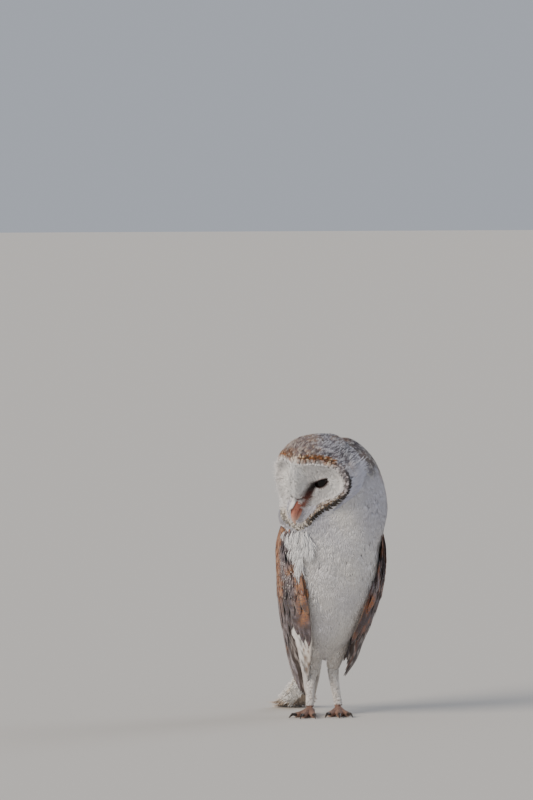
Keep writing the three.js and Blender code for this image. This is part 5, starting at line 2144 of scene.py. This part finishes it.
    def wisps(self, coat: Coat, rng: np.random.Generator) -> None:
        """Long frayed cream barbs that spill off the heap to the bird's right.

        Args:
            coat: Where they are added.
            rng: Random draw.
        """
        base = Limb(self.core)
        count = self.wisp_count
        u, v = rng.uniform(3.3, 4.98, count), rng.uniform(-math.pi, math.pi, count)
        root, normal = base.at(u, v), base.normal(u, v)
        out = np.array([-0.7, 0.5, -0.3]) + rng.normal(size=(count, 3)) * np.array([0.2, 0.25, 0.2])
        way = unit(out + normal * 0.12)
        length = (rng.uniform(6, 13, count) * (0.6 + 0.5 * smooth(16, 4, root[:, 2])))[:, None, None]
        line = root[:, None] + way[:, None] * np.linspace(0, 1, 4)[None, :, None] * length
        line[..., 2] = np.maximum(line[..., 2] - np.linspace(0, 1, 4) ** 2 * 1.5, self.lowest)
        across = unit(np.cross(way, rng.normal(size=(count, 3))))
        low = smooth(11, 2, root[:, 2] + rng.normal(size=count) * 3)
        tint = mix("fbf9f6", "d8ba97", low * rng.uniform(0.0, 0.9, count))
        place = base.unwrapped(u, v)
        tip = mix("fbf9f6", "e6d3b6", low)
        coat.add(Strands(line, np.repeat(across[:, None], 4, 1), place), 1.2, tint, tip, outline=Outline.BARB)

    def rump(self) -> None:
        """The flesh and down under the tail's coverts, closed at both ends."""
        base = Limb(self.core)
        bm = bmesh.new()
        bmesh.ops.create_uvsphere(bm, u_segments=28, v_segments=24, radius=1.0)
        points = np.array([vert.co for vert in bm.verts])
        along = (points[:, 2] + 1) / 2 * base.u_range[1]
        round_off = np.sqrt(np.clip(1 - points[:, 2] ** 6, 0, 1)) * 0.86
        centre = base.table(along)[..., :3]
        rim = base.at(along, np.arctan2(points[:, 1], points[:, 0]))
        places = centre + (rim - centre) * round_off[:, None]
        places[:, 2] = np.maximum(places[:, 2], self.lowest)
        moved(bm, places)
        bmesh.ops.recalc_face_normals(bm, faces=bm.faces)
        placed(shaped(bm, "rump_down", linear("e9e2d8")), self.finish)


# ---- Legs and feet ----


@dataclass
class Leg:
    """A leg: long thigh feathers, a short-feathered shank, bare scaly toes and dark claws."""

    side: int
    frame: dict
    plumage: bpy.types.Material
    toe_skin: bpy.types.Material
    horn: bpy.types.Material
    middle: float = -5.0
    toe_voxel: float = 0.55
    claw_voxel: float = 0.22
    seed: int = 41
    hip: tuple = (18.0, 8, 112, 15.5, 1)
    knee: tuple = (16.5, 13, 86, 12.8, 1)
    hock: tuple = (13.5, 24, 56, 6.4, 1)
    shin: tuple = (15.0, 20, 36, 4.9, 1)
    ankle: tuple = (18.0, 14, 11, 4.2, 1)

    def limb(self, *joints: tuple) -> Limb:
        """A limb through some joints on this side."""
        return Limb(tuple((self.middle + self.side * out, *rest) for out, *rest in joints))

    def build(self) -> None:
        """Makes the leg."""
        rng = np.random.default_rng(self.seed + self.side)
        word = side_word(self.side)
        coat = Coat(f"coat_leg_{word}", self.plumage, "plumage_white")
        thigh, shank = self.limb(self.hip, self.knee, self.hock), self.limb(self.hock, self.shin, self.ankle)
        self.lay(coat, thigh, (0.25, 1.92), rng, spacing=2.9, length=11.0, width=1.7, rise=1.0)
        self.lay(coat, shank, (0.0, 1.9), rng, spacing=1.7, length=5.0, width=1.1, rise=0.6)
        coat.build()
        self.foot(word)
        self.claws(word)

    @staticmethod
    def lay(coat: Coat, limb: Limb, reach: tuple, rng: np.random.Generator, spacing: float, length: float,
            width: float, rise: float) -> None:
        """Lays feathers down a limb.

        Args:
            coat: Where they are added.
            limb: The limb.
            reach: First and last place along it.
            rng: Random draw.
            spacing: Distance between roots.
            length: Length of the feathers.
            width: Width of each barb.
            rise: How far their tips stand off.
        """
        u, v = limb.scatter(reach, (-math.pi, math.pi), spacing, rng)
        number, heading, share = fanned(len(u), 4, 0.25, rng)
        sizes = length * share * rng.uniform(0.8, 1.1, len(u))[number]
        strands = limb.walk(u[number], v[number], heading, sizes, 3)
        raised = (rise * rng.uniform(0.6, 1.3, len(u)))[number]
        tint = mix(Hue.WHITE.rgb, "e0d9d2", rng.uniform(0, 0.9, len(u)))
        coat.add(strands.lifted(lofted(raised, -0.9)), width, tint[number])

    def foot(self, word: str) -> None:
        """Toes with padded soles and rows of scales.

        Args:
            word: The side as a word.
        """
        node = f"foot_{word}"
        mesh = Rounded((node,), self.toe_voxel, 3).mesh(f"toes_{word}", self.frame)
        points = own_points(mesh)
        tint = mix("b08a78", "8a6a5c", 0.5 + 0.5 * mottle(points, 5, 71))
        paint_vertices(mesh, mix(tint, "c9a796", smooth(2.2, 0.4, points[:, 2])))
        toes = placed(mesh, self.toe_skin)
        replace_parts(toes, node)

    def claws(self, word: str) -> None:
        """Curved claws, one for each toe.

        Args:
            word: The side as a word.
        """
        for toe in ("inner", "middle", "outer", "hind"):
            node = f"claw_{toe}_{word}"
            mesh = Rounded((node,), self.claw_voxel, 3).mesh(f"{node}_horn", self.frame)
            paint_vertices(mesh, linear("2a2320"))
            claw = placed(mesh, self.horn)
            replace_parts(claw, node)


# ---- Studio ----


@dataclass
class Studio:
    """Plain pale floor, soft light and the camera; sizes are metres."""

    azimuth: float = math.radians(-15)
    elevation: float = math.radians(3)
    distance: float = 6.0
    frame_height: float = 0.960
    look_right: float = -0.0706
    look_up: float = 0.3766
    floor_half: float = 30.0
    ambient: float = 0.68
    softness: float = 0.5

    def axes(self) -> tuple:
        """How the camera is turned.

        Returns:
            The camera's right, up and backward directions.
        """
        a, e = self.azimuth, self.elevation
        right = Vector((math.cos(a), math.sin(a), 0))
        back = Vector((math.sin(a) * math.cos(e), -math.cos(a) * math.cos(e), math.sin(e)))
        return right, back.cross(right), back

    def build(self) -> None:
        """Makes floor, lights and camera."""
        self.floor()
        self.world()
        self.sun("key", (-0.72, 0.46, 0.52), 2.7, "fff4e6")
        self.sun("back", (0.75, 0.5, -0.4), 0.7, "eef2ff")
        self.camera()

    def floor(self) -> None:
        """A wide pale floor."""
        bm = bmesh.new()
        bmesh.ops.create_grid(bm, x_segments=2, y_segments=2, size=self.floor_half)
        mesh = shaped(bm, "studio_floor", linear("cfcbc4"), False)
        floor = linked(mesh.name, mesh)
        mesh.materials.append(Finish("painted_board", 0.9).build())

    def world(self) -> None:
        """Even pale surroundings."""
        world = bpy.data.worlds.new("studio")
        world.use_nodes = True
        background = world.node_tree.nodes["Background"]
        background.inputs["Color"].default_value = (*linear("cdd3de"), 1)
        background.inputs["Strength"].default_value = self.ambient
        bpy.context.scene.world = world

    def sun(self, name: str, way: tuple, strength: float, colour: str) -> None:
        """A broad soft lamp, far off, so that it lights floor and bird evenly.

        Args:
            name: Name of the lamp.
            way: Where it stands, in the camera's right, up and backward directions.
            strength: Its irradiance.
            colour: sRGB hex.
        """
        data = bpy.data.lights.new(name, "SUN")
        data.angle, data.energy, data.color = self.softness, strength, linear(colour)
        lamp = linked(name, data)
        toward = sum((axis * amount for axis, amount in zip(self.axes(), way)), Vector())
        lamp.rotation_euler = (-toward).to_track_quat("-Z", "Y").to_euler()

    def camera(self) -> None:
        """A long lens at the bird's own height."""
        right, up, back = self.axes()
        data = bpy.data.cameras.new("camera")
        data.lens = data.sensor_width / 2 / (self.frame_height / 2 / self.distance)
        data.clip_end = 100.0
        camera = linked("camera", data)
        camera.location = right * self.look_right + up * self.look_up + back * self.distance
        camera.rotation_euler = Matrix((right, up, back)).transposed().to_euler()
        bpy.context.scene.camera = camera


def main() -> None:
    """Builds the bird and its studio."""
    logging.basicConfig(level=logging.INFO, format="%(message)s", force=True)
    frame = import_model()
    head = HeadFrame()
    markings = Markings(head)
    plumage = Plumage("feather_keratin", 0.82, sheen=0.15).build()
    bare_skin = Finish("lid_skin", 0.6).build()
    Skin(frame, head, markings, plumage).build()
    BodyCoat(markings, plumage, head).build()
    HeadCoat(head, markings, plumage).build()
    wet = Finish("wet_eye", 0.08, ior=1.34).build()
    for side in (-1, 1):
        eye = Eye(head, side)
        eye.ball(wet)
        for upper in (True, False):
            eye.lid(upper, bare_skin)
    Bill(frame, head, Horn("bill_horn", 0.42).build()).build()
    claw_horn = Horn("claw_horn", 0.3, streak="6b5a4c", strength=0.5).build()
    toe_skin = ScaledSkin("scaled_toe_skin", 0.6).build()
    for side in (-1, 1):
        Wing(side, plumage).build()
        Leg(side, frame, plumage, toe_skin, claw_horn).build()
    Tail(plumage).build()
    Studio().build()


if __name__ == "__main__":
    main()
